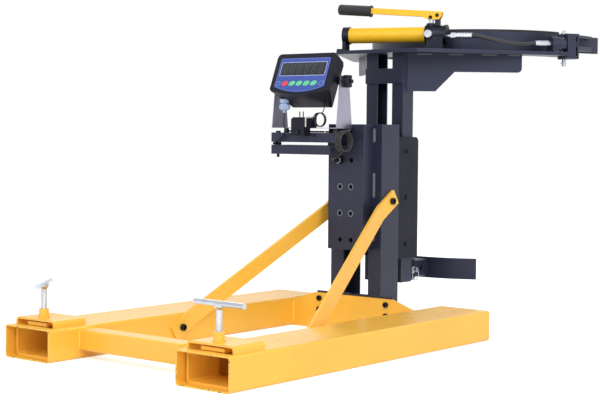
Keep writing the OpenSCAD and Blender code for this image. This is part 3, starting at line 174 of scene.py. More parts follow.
def path_frames(path):
    """Two unit normals at each point of a path: the first normal is carried along by taking
    out of it whatever points along the next tangent, so that the frame never twists."""
    tangent = np.gradient(path, axis=0)
    tangent /= np.linalg.norm(tangent, axis=1)[:, None]
    normal = np.zeros_like(path)
    seed = np.eye(3)[np.argmin(np.abs(tangent[0]))]
    for i, t in enumerate(tangent):
        seed = seed - t * np.dot(seed, t)
        seed /= np.linalg.norm(seed)
        normal[i] = seed
    return normal, np.cross(tangent, normal)


def tube_rings(path, radius, sides):
    """Circles carried along a path: point + radius (cos a normal + sin a binormal)."""
    path = np.asarray(path, float)
    normal, binormal = path_frames(path)
    a = 2 * math.pi * np.arange(sides) / sides
    r = np.broadcast_to(np.asarray(radius, float), len(path))[:, None, None]
    around = (
        np.cos(a)[None, :, None] * normal[:, None, :]
        + np.sin(a)[None, :, None] * binormal[:, None, :]
    )
    return path[:, None, :] + r * around


def skin(rings, wrapped=False):
    """Closed surface over a grid of rings: quads between neighbours, and either a fan on
    each end or, if wrapped, quads from the last ring back to the first. Returns the points,
    the faces' corner numbers and a UV for each corner: the share of the way round, and the
    metres along, or the share along if wrapped."""
    m, n = rings.shape[:2]
    along = path_length(rings.mean(axis=1)) if not wrapped else np.arange(m + 1) / m
    rows = m if wrapped else m - 1
    i, j = np.meshgrid(np.arange(rows), np.arange(n), indexing="ij")
    i1, j1 = (i + 1) % m, (j + 1) % n
    quads = np.stack([i * n + j, i * n + j1, i1 * n + j1, i1 * n + j], -1).reshape(-1, 4)
    low, high = along[i], along[i + 1]
    left, right = j / n, (j + 1) / n
    uv = np.stack(
        [np.stack(c, -1) for c in ((left, low), (right, low), (right, high), (left, high))],
        axis=2,
    ).reshape(-1, 2)
    points, fans = rings.reshape(-1, 3), np.zeros((0, 3), int)
    if not wrapped:
        points = np.vstack([points, rings[0].mean(axis=0), rings[-1].mean(axis=0)])
        k, k1 = np.arange(n), (np.arange(n) + 1) % n
        last = (m - 1) * n
        fans = np.vstack([
            np.stack([np.full(n, m * n), k1, k], -1),
            np.stack([np.full(n, m * n + 1), last + k, last + k1], -1),
        ])
        uv = np.vstack([uv, np.repeat([[0.5, 0.0], [0.5, along[-1]]], 3 * n, axis=0)])
    a, b, c, d = (points[quads[:, q]] for q in range(4))
    volume = (np.cross(a, b) * c).sum() + (np.cross(a, c) * d).sum()
    if len(fans):
        a, b, c = (points[fans[:, q]] for q in (0, 1, 2))
        volume += (np.cross(a, b) * c).sum()
    if volume < 0:
        quads, fans = quads[:, ::-1], fans[:, ::-1]
        split = len(quads) * 4
        uv = np.vstack([
            uv[:split].reshape(-1, 4, 2)[:, ::-1].reshape(-1, 2),
            uv[split:].reshape(-1, 3, 2)[:, ::-1].reshape(-1, 2),
        ])
    return points, quads, fans, uv


def new_object(name, data):
    """A new object in the scene, at the origin."""
    made = bpy.data.objects.new(name, data)
    bpy.context.scene.collection.objects.link(made)
    return made


def piece(name, skins, material, body, crease=40):
    """One object out of several skins, its place in its mesh, with a material given by its
    name. It rides on a body, or on none yet where the body is None."""
    points, faces, uvs, at = [], [], [], 0
    for p, quads, fans, uv in skins:
        points.append(p)
        faces += (quads + at).tolist() + (fans + at).tolist()
        uvs.append(uv)
        at += len(p)
    mesh = bpy.data.meshes.new(name)
    mesh.from_pydata(np.vstack(points).tolist(), [], faces)
    layer = mesh.uv_layers.new(name="UVMap")
    layer.data.foreach_set("uv", np.vstack(uvs).ravel())
    mesh.shade_smooth()
    mesh.set_sharp_from_angle(angle=math.radians(crease))
    mesh.materials.append(bpy.data.materials[material])
    made = new_object(name, mesh)
    if body:
        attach(made, body)
    return made


def to_place(points, origin, x_axis, y_axis, z_axis):
    """Points given in a local frame: origin + x X + y Y + z Z."""
    basis = np.array([x_axis, y_axis, z_axis], float)
    return np.asarray(origin, float) + np.asarray(points, float) @ basis


def rounded_outline(width, height, radius, per_corner=5):
    """Rounded rectangle: each corner's centre + radius (cos a, sin a) over its quarter."""
    quarter = np.linspace(0, math.pi / 2, per_corner)
    a = (quarter[None, :] + math.pi / 2 * np.arange(4)[:, None]).ravel()
    sx = np.repeat([1, -1, -1, 1], per_corner)
    sy = np.repeat([1, 1, -1, -1], per_corner)
    return np.stack([
        sx * (width / 2 - radius) + radius * np.cos(a),
        sy * (height / 2 - radius) + radius * np.sin(a),
    ], -1)


def oval_outline(half_w, half_h, power, slant, count=32):
    """Superellipse |x/w|^p + |y/h|^p = 1, leaned over by slant."""
    a = 2 * math.pi * np.arange(count) / count
    x = half_w * np.sign(np.cos(a)) * np.abs(np.cos(a)) ** (2 / power)
    y = half_h * np.sign(np.sin(a)) * np.abs(np.sin(a)) ** (2 / power)
    return np.stack([x + slant * y, y], -1)


def plate_rings(outline, low, high, edge):
    """Outline raised from low to high with its top edge rounded: it shrinks towards the
    middle by edge (1 - cos a) while it rises by edge sin a."""
    a = np.linspace(0, math.pi / 2, 4)
    z = np.concatenate([[low], high - edge + edge * np.sin(a)])
    inset = np.concatenate([[0.0], edge * (1 - np.cos(a))])
    middle = outline.mean(axis=0)
    off = outline - middle
    reach = np.linalg.norm(off, axis=1)[:, None]
    shrunk = middle + off * (1 - inset[:, None, None] / reach[None, :, :])
    rise = np.broadcast_to(z[:, None, None], (len(z), len(outline), 1))
    return np.concatenate([shrunk, rise], -1)


def border_rings(outline, width, low, high):
    """Flat band round an outline: a rectangle, half the width either way, at each point."""
    step = np.roll(outline, -1, axis=0) - np.roll(outline, 1, axis=0)
    out = np.stack([step[:, 1], -step[:, 0]], -1)
    out /= np.linalg.norm(out, axis=1)[:, None]
    side = np.array([-0.5, 0.5, 0.5, -0.5]) * width
    flat = outline[:, None, :] + out[:, None, :] * side[None, :, None]
    z = np.broadcast_to(np.array([low, low, high, high])[None, :, None], (len(outline), 4, 1))
    return np.concatenate([flat, z], -1)


def turned_skin(radii, stations, origin, axis, sides=40, lobes=0, lobe=0.0):
    """Turned shape: circles of the radii at the stations along an axis, both in millimetres,
    with the radius times 1 + lobe cos(lobes a) where it has ribs."""
    axis = np.asarray(axis, float) / np.linalg.norm(axis)
    seed = np.eye(3)[np.argmin(np.abs(axis))]
    u = np.cross(axis, seed)
    u /= np.linalg.norm(u)
    v = np.cross(axis, u)
    a = 2 * math.pi * np.arange(sides) / sides
    r = mm(*radii)[:, None] * (1 + lobe * np.cos(lobes * a))[None, :]
    around = np.cos(a)[None, :, None] * u + np.sin(a)[None, :, None] * v
    centres = np.asarray(origin, float) + mm(*stations)[:, None, None] * axis
    return skin(centres + r[:, :, None] * around)


def bead_skin(start, end, width, ripple=0.16):
    """Weld bead: a tube of radius width/2 times (1 - ripple |sin(pi L s / p)|), where s goes
    from 0 to 1 along its length L and the pitch p is a little over half the width, times a slow
    drift 1 + 0.06 sin, times a rounded end sqrt(1 - |2s - 1|^k) with k = 2 + 2 L / width."""
    start, end = np.asarray(start, float), np.asarray(end, float)
    length = np.linalg.norm(end - start)
    pitch = width * 0.55
    count = max(12, int(length / pitch * 4))
    s = np.linspace(0, 1, count)
    wave = 1 - ripple * np.abs(np.sin(math.pi * s * length / pitch))
    drift = 1 + 0.06 * np.sin(s * length / (width * 2.3) + start[0] * 40)
    ends = np.sqrt(np.clip(1 - np.abs(2 * s - 1) ** (2 + length / width * 2), 0.02, 1))
    radius = width / 2 * wave * drift * ends
    return skin(tube_rings(start + s[:, None] * (end - start), radius, 10))


# Node groups and materials

NUMBER, COLOUR = "NodeSocketFloat", "NodeSocketColor"
SURFACE = [("Colour", COLOUR), ("Roughness", NUMBER), ("Height", NUMBER)]
GREY = (0.8, 0.8, 0.8, 1)
DUST = (0.42, 0.41, 0.4, 1)
WHITE = (1, 1, 1, 1)


def new_group(name, inputs, outputs):
    """A shader node group with named sockets; each input has its default."""
    group = bpy.data.node_groups.new(name, "ShaderNodeTree")
    for label, value in inputs:
        kind = NUMBER if np.isscalar(value) else COLOUR
        socket = group.interface.new_socket(label, in_out="INPUT", socket_type=kind)
        socket.default_value = value
    for label, kind in outputs:
        group.interface.new_socket(label, in_out="OUTPUT", socket_type=kind)
    given, result = group.nodes.new("NodeGroupInput"), group.nodes.new("NodeGroupOutput")
    return group, given.outputs, result


def wire(tree, target, inputs):
    """Gives a node's inputs their values, or links them to the sockets given."""
    for key, value in inputs.items():
        if isinstance(value, bpy.types.NodeSocket):
            tree.links.new(value, target.inputs[key])
        else:
            target.inputs[key].default_value = value


def node(tree, kind, inputs=None, **settings):
    """One node with its settings and its inputs."""
    made = tree.nodes.new(kind)
    for key, value in settings.items():
        setattr(made, key, value)
    wire(tree, made, inputs or {})
    return made


def maths(tree, operation, *values, clamp=False):
    """Math node: its result socket."""
    inputs = dict(enumerate(values))
    return node(tree, "ShaderNodeMath", inputs, operation=operation, use_clamp=clamp).outputs[0]


def times(tree, first, second):
    return maths(tree, "MULTIPLY", first, second)


def plus(tree, first, second):
    return maths(tree, "ADD", first, second)


def blend_colour(tree, factor, first, second):
    """Mix node for colours: its result socket."""
    mixed = {0: factor, 6: first, 7: second}
    return node(tree, "ShaderNodeMix", mixed, data_type="RGBA").outputs[2]


def scaled(tree, base, gain):
    """A colour times a gain: its result socket."""
    inputs = {0: base, "Scale": gain}
    return node(tree, "ShaderNodeVectorMath", inputs, operation="SCALE").outputs[0]


def span(tree, value, low, high, to_low=0.0, to_high=1.0):
    """Map Range node: its result socket."""
    return node(tree, "ShaderNodeMapRange", {
        "Value": value, "From Min": low, "From Max": high, "To Min": to_low, "To Max": to_high,
    }).outputs["Result"]


def place(tree):
    return node(tree, "ShaderNodeTexCoord").outputs["Object"]


def axes(tree, vector):
    return node(tree, "ShaderNodeSeparateXYZ", {0: vector}).outputs


def noise(tree, where, scale, detail=3.0, rough=0.55):
    return node(tree, "ShaderNodeTexNoise", {
        "Vector": where, "Scale": scale, "Detail": detail, "Roughness": rough,
    }).outputs["Fac"]


def spread(tree, cloud, low, high):
    """A noise's usual range, 0.3 to 0.7, mapped to low and high."""
    return span(tree, cloud, 0.3, 0.7, low, high)


def uneven(tree, base, cloud, amount):
    """A colour that a noise makes lighter and darker by up to the amount."""
    shift = spread(tree, cloud, -1.0, 1.0)
    return scaled(tree, base, plus(tree, 1.0, times(tree, shift, amount)))


def paint_group():
    """Powder coat: slow drift and fine mottle of the colour, orange peel and roughness."""
    group, given, result = new_group(
        "Powder Coat", [("Colour", GREY), ("Drift", 0.06), ("Gloss", 0.3), ("Peel", 1.0)], SURFACE)
    where = place(group)
    slow, mottle = noise(group, where, 5.0, 2.0), noise(group, where, 85.0, 4.0)
    both = plus(group, times(group, slow, 0.7), times(group, mottle, 0.3))
    smears = span(group, noise(group, where, 22.0, 5.0, 0.7), 0.3, 0.75, -0.05, 0.1)
    wire(group, result, {
        "Colour": uneven(group, given["Colour"], both, given["Drift"]),
        "Roughness": plus(group, given["Gloss"], smears),
        "Height": times(group, noise(group, where, 620.0, 1.0), given["Peel"]),
    })


def wear_and_highlight_group():
    """Worn edges and a painted edge highlight: how far the rounded normal leans from the face's
    own, broken up by noise.
    """
    group, given, result = new_group(
        "Worn And Highlit Edges", [("Amount", 0.5), ("Breakup", 60.0)], [("Chips", NUMBER), ("Edge Highlight", NUMBER)])
    where = place(group)
    rounded = node(group, "ShaderNodeBevel", {"Radius": 0.0018}, samples=6).outputs[0]
    own = node(group, "ShaderNodeNewGeometry").outputs["Normal"]
    lean = node(group, "ShaderNodeVectorMath", {0: rounded, 1: own}, operation="DOT_PRODUCT")
    edge = span(group, lean.outputs["Value"], 0.995, 0.9)
    gate = maths(group, "SUBTRACT", 0.74, times(group, given["Amount"], 0.3))
    broken = noise(group, where, given["Breakup"], 6.0, 0.65)
    chips = span(group, broken, gate, plus(group, gate, 0.03))
    wire(group, result, {
        "Chips": maths(group, "MULTIPLY", edge, chips, clamp=True),
        # painted highlight along the rounded edges, broken up by a slow noise
        "Edge Highlight": times(group, edge, span(group, noise(group, where, 14.0), 0.3, 0.6)),
    })


def metal_group():
    """Plated or drawn metal: drawn streaks, cloudy tone and fine pits."""
    group, given, result = new_group(
        "Plated Metal", [("Colour", GREY), ("Roughness", 0.3), ("Cloud", 0.12)], SURFACE)
    where = place(group)
    drawn = node(group, "ShaderNodeMapping", {"Vector": where, "Scale": (1.0, 1.0, 14.0)})
    streak = noise(group, drawn.outputs[0], 60.0)
    rough = spread(group, streak, -0.06, 0.08)
    wire(group, result, {
        "Colour": uneven(group, given["Colour"], noise(group, where, 26.0), given["Cloud"]),
        "Roughness": plus(group, given["Roughness"], rough),
        "Height": plus(group, noise(group, where, 900.0, 2.0), times(group, streak, 0.6)),
    })


def moulded_group():
    """Moulded plastic or rubber: spark-eroded grain, faint dust and uneven gloss."""
    group, given, result = new_group(
        "Moulded Grain", [("Colour", GREY), ("Roughness", 0.5), ("Grain", 700.0), ("Dust", 0.1)],
        SURFACE)
    where = place(group)
    grain = node(group, "ShaderNodeTexVoronoi", {"Vector": where, "Scale": given["Grain"]})
    handled = noise(group, where, 18.0, 4.0, 0.6)
    normal = node(group, "ShaderNodeNewGeometry").outputs["Normal"]
    upward = span(group, axes(group, normal)["Z"], 0.2, 1.0)
    dusty = times(group, times(group, upward, span(group, handled, 0.35, 0.7)), given["Dust"])
    wire(group, result, {
        "Colour": blend_colour(group, dusty, given["Colour"], DUST),
        "Roughness": plus(group, given["Roughness"], spread(group, handled, -0.06, 0.09)),
        "Height": grain.outputs["Distance"],
    })


def bare_tree(owner):
    """The node tree of a material or a world, emptied."""
    owner.use_nodes = True
    owner.node_tree.nodes.clear()
    return owner.node_tree


def empty_material(name):
    """A new material's node tree and its Principled shader, which goes to its output."""
    tree = bare_tree(bpy.data.materials.new(name))
    shader = node(tree, "ShaderNodeBsdfPrincipled")
    node(tree, "ShaderNodeOutputMaterial", {0: shader.outputs[0]})
    return tree, shader


def bumped(tree, shader, height, strength, distance):
    """Bump from a height into the shader's normal."""
    inputs = {"Strength": strength, "Distance": distance, "Height": height}
    wire(tree, shader, {"Normal": node(tree, "ShaderNodeBump", inputs).outputs[0]})


def from_group(tree, group, values):
    """The outputs of a node group that is given these values."""
    return node(tree, "ShaderNodeGroup", values, node_tree=bpy.data.node_groups[group]).outputs


def painted(name, base, gloss, drift, wear, highlight_tone, mouth=False, tint=WHITE):
    """Powder coated steel: coat, chips down to dark steel on the edges, and a painted highlight on
    the rounded corners.
    """
    tree, shader = empty_material(name)
    coat = from_group(
        tree, "Powder Coat", {"Colour": base, "Drift": drift, "Gloss": gloss, "Peel": 1.0})
    worn = from_group(tree, "Worn And Highlit Edges", {"Amount": wear, "Breakup": 95.0})
    chips = worn["Chips"]
    if mouth:
        along = axes(tree, place(tree))["X"]
        chips = times(tree, chips, span(tree, along, *MOUTH_WEAR, 0.25, 1.0))
        scrape = span(tree, noise(tree, place(tree), 75.0, 5.0, 0.7), 0.56, 0.62)
        scraped = times(tree, scrape, span(tree, along, *MOUTH_SCRAPE))
        chips = maths(tree, "MAXIMUM", chips, scraped)
    # painted highlight: the coat blended towards the paler edge colour along the rounded edges
    edge_highlighted = blend_colour(tree, times(tree, worn["Edge Highlight"], 0.35), coat["Colour"], highlight_tone)
    wire(tree, shader, {
        "Specular Tint": tint,
        "Base Color": blend_colour(tree, chips, edge_highlighted, colours().worn[:]),
        "Roughness": plus(tree, coat["Roughness"], times(tree, chips, 0.3)),
    })
    bumped(tree, shader, maths(tree, "SUBTRACT", coat["Height"], chips), 0.12, 0.0004)


def plated(name, base, rough, cloud, strength=0.06):
    """Bare or plated metal."""
    tree, shader = empty_material(name)
    metal = from_group(tree, "Plated Metal", {"Colour": base, "Roughness": rough, "Cloud": cloud})
    wire(tree, shader, {
        "Metallic": 1.0, "Base Color": metal["Colour"], "Roughness": metal["Roughness"]})
    bumped(tree, shader, metal["Height"], strength, 0.0003)


def grained(tree, shader, base, rough, grain, dust):
    """Wires moulded grain into a shader and returns its height."""
    face = from_group(tree, "Moulded Grain", {
        "Colour": base, "Roughness": rough, "Grain": grain, "Dust": dust})
    wire(tree, shader, {"Base Color": face["Colour"], "Roughness": face["Roughness"]})
    return face["Height"]


def moulded(name, base, rough, grain, dust, tint=WHITE):
    """Plastic or rubber out of a mould: its node tree and its shader."""
    tree, shader = empty_material(name)
    wire(tree, shader, {"Specular Tint": tint})
    bumped(tree, shader, grained(tree, shader, base, rough, grain, dust), 0.15, 0.0003)
    return tree, shader


def ribbed_rubber(name, base):
    """Clamp lining: moulded rubber with fine upright ribs round the drum's centre line."""
    tree, shader = moulded(name, base, 0.62, 500.0, 0.15)
    from_drum = {"Vector": place(tree), "Location": (-DRUM_X, 0.0, 0.0)}
    centred = axes(tree, node(tree, "ShaderNodeMapping", from_drum).outputs[0])
    turn = maths(tree, "ARCTAN2", centred["Y"], centred["X"])
    bumped(tree, shader, maths(tree, "PINGPONG", times(tree, turn, 75.0), 0.5), 0.4, 0.0008)


def blue_panel(name):
    """Printed front panel: blue with a paler line inside its edge. X runs along the front, Y
    up its slope, from the front's middle; the lower edge is the curve that the panel has."""
    tree, shader = empty_material(name)
    to_front = Matrix((FRONT_X, FRONT_Y, FRONT_N))
    local = axes(tree, node(tree, "ShaderNodeMapping", {
        "Vector": place(tree), "Location": -(to_front @ Vector(FRONT_AT)),
        "Rotation": to_front.to_euler(),
    }).outputs[0])
    across = maths(tree, "ABSOLUTE", local["X"])
    sag = times(tree, maths(tree, "POWER", across, 2.0), PANEL_SAG / PANEL_REACH**2)
    above = maths(tree, "SUBTRACT", local["Y"], plus(tree, sag, PANEL_LOW))
    below = maths(tree, "SUBTRACT", PANEL_HIGH, local["Y"])
    inside = maths(tree, "MINIMUM", above, maths(tree, "SUBTRACT", PANEL_HALF, across))
    inside = maths(tree, "MINIMUM", inside, below)
    line = times(tree, span(tree, inside, 0.0008, 0.0012), span(tree, inside, 0.0024, 0.002))
    cloud = spread(tree, noise(tree, place(tree), 30.0), 0.92, 1.08)
    blue = scaled(tree, colours().panel[:3], cloud)
    wire(tree, shader, {
        "Base Color": blend_colour(tree, times(tree, line, 0.4), blue, colours().rim[:]),
        "Roughness": span(tree, cloud, 0.92, 1.08, 0.28, 0.38),
    })
    bumped(tree, shader, noise(tree, place(tree), 1400.0, 1.0), 0.05, 0.0002)


def satin(name, base, rough, speck=0.05):
    """Printed ink or glass: a nearly even colour with a fine uneven gloss."""
    tree, shader = empty_material(name)
    fine = noise(tree, place(tree), 240.0)
    wire(tree, shader, {
        "Base Color": scaled(tree, base[:3], spread(tree, fine, 1 - speck, 1 + speck)),
        "Roughness": spread(tree, fine, rough * 0.85, rough * 1.15),
    })
    bumped(tree, shader, fine, 0.04, 0.0002)


def sheathed(name, base, rough, pitch, strength):
    """Cable sheath or hose cover: a faint spiral of strands under the skin, from the UV map."""
    tree, shader = empty_material(name)
    unrolled = axes(tree, node(tree, "ShaderNodeUVMap", uv_map="UVMap").outputs[0])
    spiral = plus(tree, unrolled["X"], maths(tree, "DIVIDE", unrolled["Y"], pitch))
    strand = maths(tree, "PINGPONG", times(tree, spiral, 3.0), 0.5)
    height = grained(tree, shader, base, rough, 900.0, 0.1)
    bumped(tree, shader, plus(tree, strand, times(tree, height, 0.3)), strength, 0.0004)


# Where things are: metres, with stations along the pump and the cylinder in millimetres

DRUM_X = 0.589
UP = np.array([0.0, 0.0, 1.0])

# Paint at the pockets' mouths, along X: from where chips and scrapes begin to where they are full
MOUTH_WEAR = (-0.895, -0.904)
MOUTH_SCRAPE = (-0.9035, -0.9055)

# Yaw, pitch and roll in degrees, focal length and sensor in millimetres
CAMERA_AT = (-3.08305, -2.35653, 0.56140)
CAMERA_TURN = (39.581, -2.926, 0.424)
CAMERA_LENS, CAMERA_SENSOR = 84.8, 36.0

# The indicator's front: its middle, the way across, up its slope and out of it
FRONT_AT = (-0.113, 0.091, 0.716)
FRONT_X = (0.0, -1.0, 0.0)
FRONT_Y = (0.3746, 0.0, 0.9272)
FRONT_N = (-0.9272, 0.0, 0.3746)
PANEL_HALF, PANEL_HIGH, PANEL_LOW = 0.087, 0.0375, -0.0625
PANEL_REACH, PANEL_SAG = 0.080, 0.0135
WINDOW_W, WINDOW_H, WINDOW_Y = 0.156, 0.038, 0.005
DIGITS_X = np.linspace(-0.0615, 0.0615, 6)
KEY_Y = -0.0375
RED_KEY_X = (-0.052,)
GREEN_KEYS_X = (-0.027, -0.002, 0.023, 0.048)
OUTLINE_KEYS_X = (-0.078, 0.075)

# The clamp cylinder and the pump: their axes, and the hose's stations along them
PIVOT = np.array([0.524, -0.350, 0.803])
CYL_D = np.array([0.857, -0.515, 0.0])
CYL_OUT = np.array([-0.515, -0.857, 0.0])
PUMP_AT = np.array([0.134, 0.124, 0.825])
PUMP_TURN = math.radians(70)
PUMP_A = np.array([math.cos(PUMP_TURN), -math.sin(PUMP_TURN), 0.0])
PUMP_B = np.array([math.sin(PUMP_TURN), math.cos(PUMP_TURN), 0.0])
PORT_DROP = 5.0
HOSE_OUT = (313.3, 336.3, 359.3, 367.3)
HOSE_IN = (-114.3, -96.3, -78.3)
FERRULE_R, CRIMP_RISE, CRIMP_PITCH, CRIMP_WIDE = 7.95, 0.7, 6.5, 4.2

GLAND_AT = mm(-47.2, 18.5, 474.5)
PLUG_AT = np.array([-0.108, 0.160, 0.602])
TRAY_SCREW_AT = mm(-105, 19, 548)
CHARGER_CORNER = mm(-132.4, 65.6, 589.4)
CHARGER_ENDS = mm((-86, 65.6, 589.4), (-132.4, 65.6, 563))

# Where beads, threads and the painted highlight rings round screws lie
POCKET_WALL_Y, POCKET_TOP_Z = 0.209, 0.0802
TOP_BEADS_Y = (0.180, 0.318)
HOUSING_SEAM_X, HOUSING_SEAM_Y = 0.0092, 0.0605
BASE_EDGE_X, BASE_EDGE_Z = 0.0105, 0.1052
WEB_ROOT = np.array([0.169, 0.066, 0.7705])
WEB_TURN, WEB_HALF = math.radians(43.65), 0.0045
RECEIVER_X, RECEIVER_Y = 0.1872, 0.030
SEAM_R, SEAM_Z = 0.3062, 0.7815
SCREW_X, SCREW_Y, SHANK_R = -0.853, 0.289, 0.00702
THREAD_FROM, THREAD_TO, THREAD_RISE = 0.0905, 0.1672, 0.00036
HOUSING_X, HOUSING_ROWS_Y, HOUSING_ROWS_Z = -0.0378, (-0.0185, 0.0185), (0.3295, 0.402)
CHEEK_X, CHEEK_Y, CHEEK_ROWS_Z = 0.145, -0.0751, (0.239, 0.370, 0.498)

LAMP_AIM = np.array([-0.1, 0.0, 0.4])
LAMPS = (
    ("key_lamp", (-3.2, -1.4, 2.6), 2.2, 62.0),
    ("near_lamp", (-0.8, -3.8, 2.5), 2.4, 52.0),
    ("back_lamp", (2.6, 2.8, 3.0), 2.6, 34.0),
)

# Tints of the reflections on dark paint and plastic
COOL = (0.72, 0.78, 1.0, 1.0)
DEEP = (0.34, 0.37, 0.5, 1.0)

FINISHES = {
    "yellow_coat": (
        "front_crossbar", "rear_cross_plate", "clamp_ring_near", "clamp_ring_far", "braces",
        "pressure_pad_near", "pressure_pad_far",
    ),
    "yellow_pocket_coat": ("fork_pocket_near", "fork_pocket_far"),
    "yellow_pump_coat": ("pump_reservoir", "handle_lever"),
    "dark_coat": (
        "mast_base_plate", "mast_post_near", "mast_post_far", "load_cell_housing",
        "indicator_arm", "indicator_tray", "inner_post_near", "inner_post_far",
        "mast_crosspieces", "hanger_arm", "top_plate", "arm_webs", "clamp_band", "lower_arm",
        "clamp_cylinder", "cylinder_saddle", "jaw",
    ),
    # the mast's dark paint in a darker copy, as painted shade on the guide cheeks and the arm
    # receiver
    "shaded_dark_coat": ("guide_cheeks", "arm_receiver"),
    "zinc_plate": (
        "clamp_screw_near", "clamp_screw_far", "hose_fittings", "pump_plunger",
        "release_valve", "lock_pin", "cylinder_rod", "pivot_pin",
    ),
    "black_oxide": ("tray_lever", "frame_bolts", "mast_screws", "pump_head", "pump_end_cap"),
    "stainless_sheet": ("indicator_stand",),
    "milled_alloy": ("load_cell",),
    "moulded_plastic": ("indicator_case", "knob_near", "knob_far", "charger", "cable_gland"),
    "moulded_rubber": ("stand_feet", "handle_grip"),
    "ribbed_lining": ("band_lining", "jaw_lining"),
    "nylon_pads": ("guide_pads",),
    "plug_shell": ("indicator_plug",),
    "printed_panel": ("indicator_panel",),
    "cable_sheath": ("load_cell_cable", "charger_lead"),
    "hose_cover": ("pump_hose",),
}

# A digit's seven bars: the x and y of both ends, from its middle, as shares of its half sizes
SEGMENTS = (
    (-1, 1, 1, 1), (-1, 0, 1, 0), (-1, -1, 1, -1),
    (-1, 0, -1, 1), (1, 0, 1, 1), (-1, -1, -1, 0), (1, -1, 1, 0),
)


def pump_point(s, across=0.0, rise=0.0):
    """Point at station s along the pump, across and above its axis, all in millimetres."""
    return PUMP_AT + PUMP_A * s * MM + PUMP_B * across * MM + UP * rise * MM


def cylinder_point(s, out=32.0):
    """Point at station s along the clamp's cylinder, out from the pivot, in millimetres."""
    return PIVOT + CYL_D * s * MM + CYL_OUT * out * MM


def on_front(points):
    """Points in the indicator front's own frame, in metres."""
    return to_place(points, FRONT_AT, FRONT_X, FRONT_Y, FRONT_N)


def front_plate(outline, low, high, edge):
    """Plate on the indicator's front, at heights above it."""
    return skin(on_front(plate_rings(outline, low, high, edge)))


def front_border(outline, width, low, high):
    """Flat band on the indicator's front, at heights above it."""
    return skin(on_front(border_rings(outline, width, low, high)), wrapped=True)


def screw_highlight_ring(radius, width, rise, at, across, out):
    """Flat pale ring round a screw's head, a painted highlight on an upright face that looks out.
    """
    ring = border_rings(oval_outline(radius, radius, 2.0, 0.0), width, 0.0, rise)
    return skin(to_place(ring, at, across, UP, out), wrapped=True)


def digit_bars(high, slender=0.52, thick=0.13, lean=0.16):
    """Outlines of a digit's seven bars round its middle: each bar is a hexagon with both ends
    pointed, from end a to end b along d, and x grows by lean times y."""
    wide, bar = high * slender, high * thick
    gap, half = 0.16, 0.42
    bars = []
    for x0, y0, x1, y1 in SEGMENTS:
        a = np.array([x0 * (wide - bar) / 2, y0 * (high - bar) / 2])
        b = np.array([x1 * (wide - bar) / 2, y1 * (high - bar) / 2])
        d = (b - a) / np.linalg.norm(b - a)
        n = np.array([-d[1], d[0]])
        a, b = a + d * bar * gap, b - d * bar * gap
        shape = np.array([
            a, a + (d + n) * bar * half, b + (n - d) * bar * half, b,
            b - (d + n) * bar * half, a + (d - n) * bar * half,
        ])
        shape[:, 0] += lean * shape[:, 1]
        bars.append(shape)
    return bars


def looked_at(tree):
    """1 where the camera looks, straight, in a reflection or through glass, and 0 for the
    light that falls on things."""
    seen = node(tree, "ShaderNodeLightPath").outputs
    direct = maths(tree, "MAXIMUM", seen["Is Camera Ray"], seen["Is Glossy Ray"])
    return maths(tree, "MAXIMUM", direct, seen["Is Transmission Ray"])


# Operators


class DRUMLIFTER_OT_finishes(bpy.types.Operator):
    """Builds the finishes and puts them on the CAD parts"""

    bl_idname = "drumlifter.finishes"
    bl_label = "Finishes of the CAD parts"

    def execute(self, context):
        for build in (paint_group, wear_and_highlight_group, metal_group, moulded_group):
            build()
        tone, wear = colours(), sizes().wear
        # the fifth colour of each paint is its painted highlight along the rounded edges
        straw_highlight = linear(255, 214, 130)
        painted("yellow_coat", tone.yellow[:], 0.3, 0.05, wear * 0.25, straw_highlight)
        painted("yellow_pump_coat", tone.pump[:], 0.34, 0.04, wear * 0.1, linear(255, 214, 110))
        painted("yellow_pocket_coat", tone.yellow[:], 0.3, 0.05, wear, straw_highlight, mouth=True)
        painted("dark_coat", tone.dark[:], 0.4, 0.12, wear * 0.2, linear(96, 98, 116), tint=COOL)
        # darker copy of the dark paint: painted shade on the guide cheeks and the arm receiver
        painted(
            "shaded_dark_coat", tone.plastic[:], 0.55, 0.12, wear * 0.2, linear(80, 82, 98), tint=DEEP)
        plated("zinc_plate", tone.zinc[:], 0.28, 0.12)
        # paler zinc for the painted highlight rings round the screw heads
        plated("highlight_zinc", linear(122, 124, 136), 0.45, 0.15)
        plated("black_oxide", tone.black[:], 0.42, 0.2, 0.1)
        plated("stainless_sheet", tone.stainless[:], 0.34, 0.05, 0.04)
        plated("milled_alloy", tone.alloy[:], 0.35, 0.06)
        moulded("moulded_plastic", tone.plastic[:], 0.46, 900.0, 0.03, tint=DEEP)
        moulded("moulded_rubber", tone.rubber[:], 0.6, 600.0, 0.15)
        ribbed_rubber("ribbed_lining", tone.rubber[:])
        moulded("nylon_pads", tone.nylon[:], 0.45, 400.0, 0.05)
        moulded("plug_shell", tone.plug[:], 0.4, 500.0, 0.05)
        blue_panel("printed_panel")
        sheathed("cable_sheath", linear(30, 30, 34), 0.42, 0.02, 0.2)
        sheathed("hose_cover", linear(34, 34, 38), 0.5, 0.035, 0.35)
        for finish, names in FINISHES.items():
            for name in names:
                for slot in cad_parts[name].material_slots:
                    slot.material = bpy.data.materials[finish]
        return {"FINISHED"}


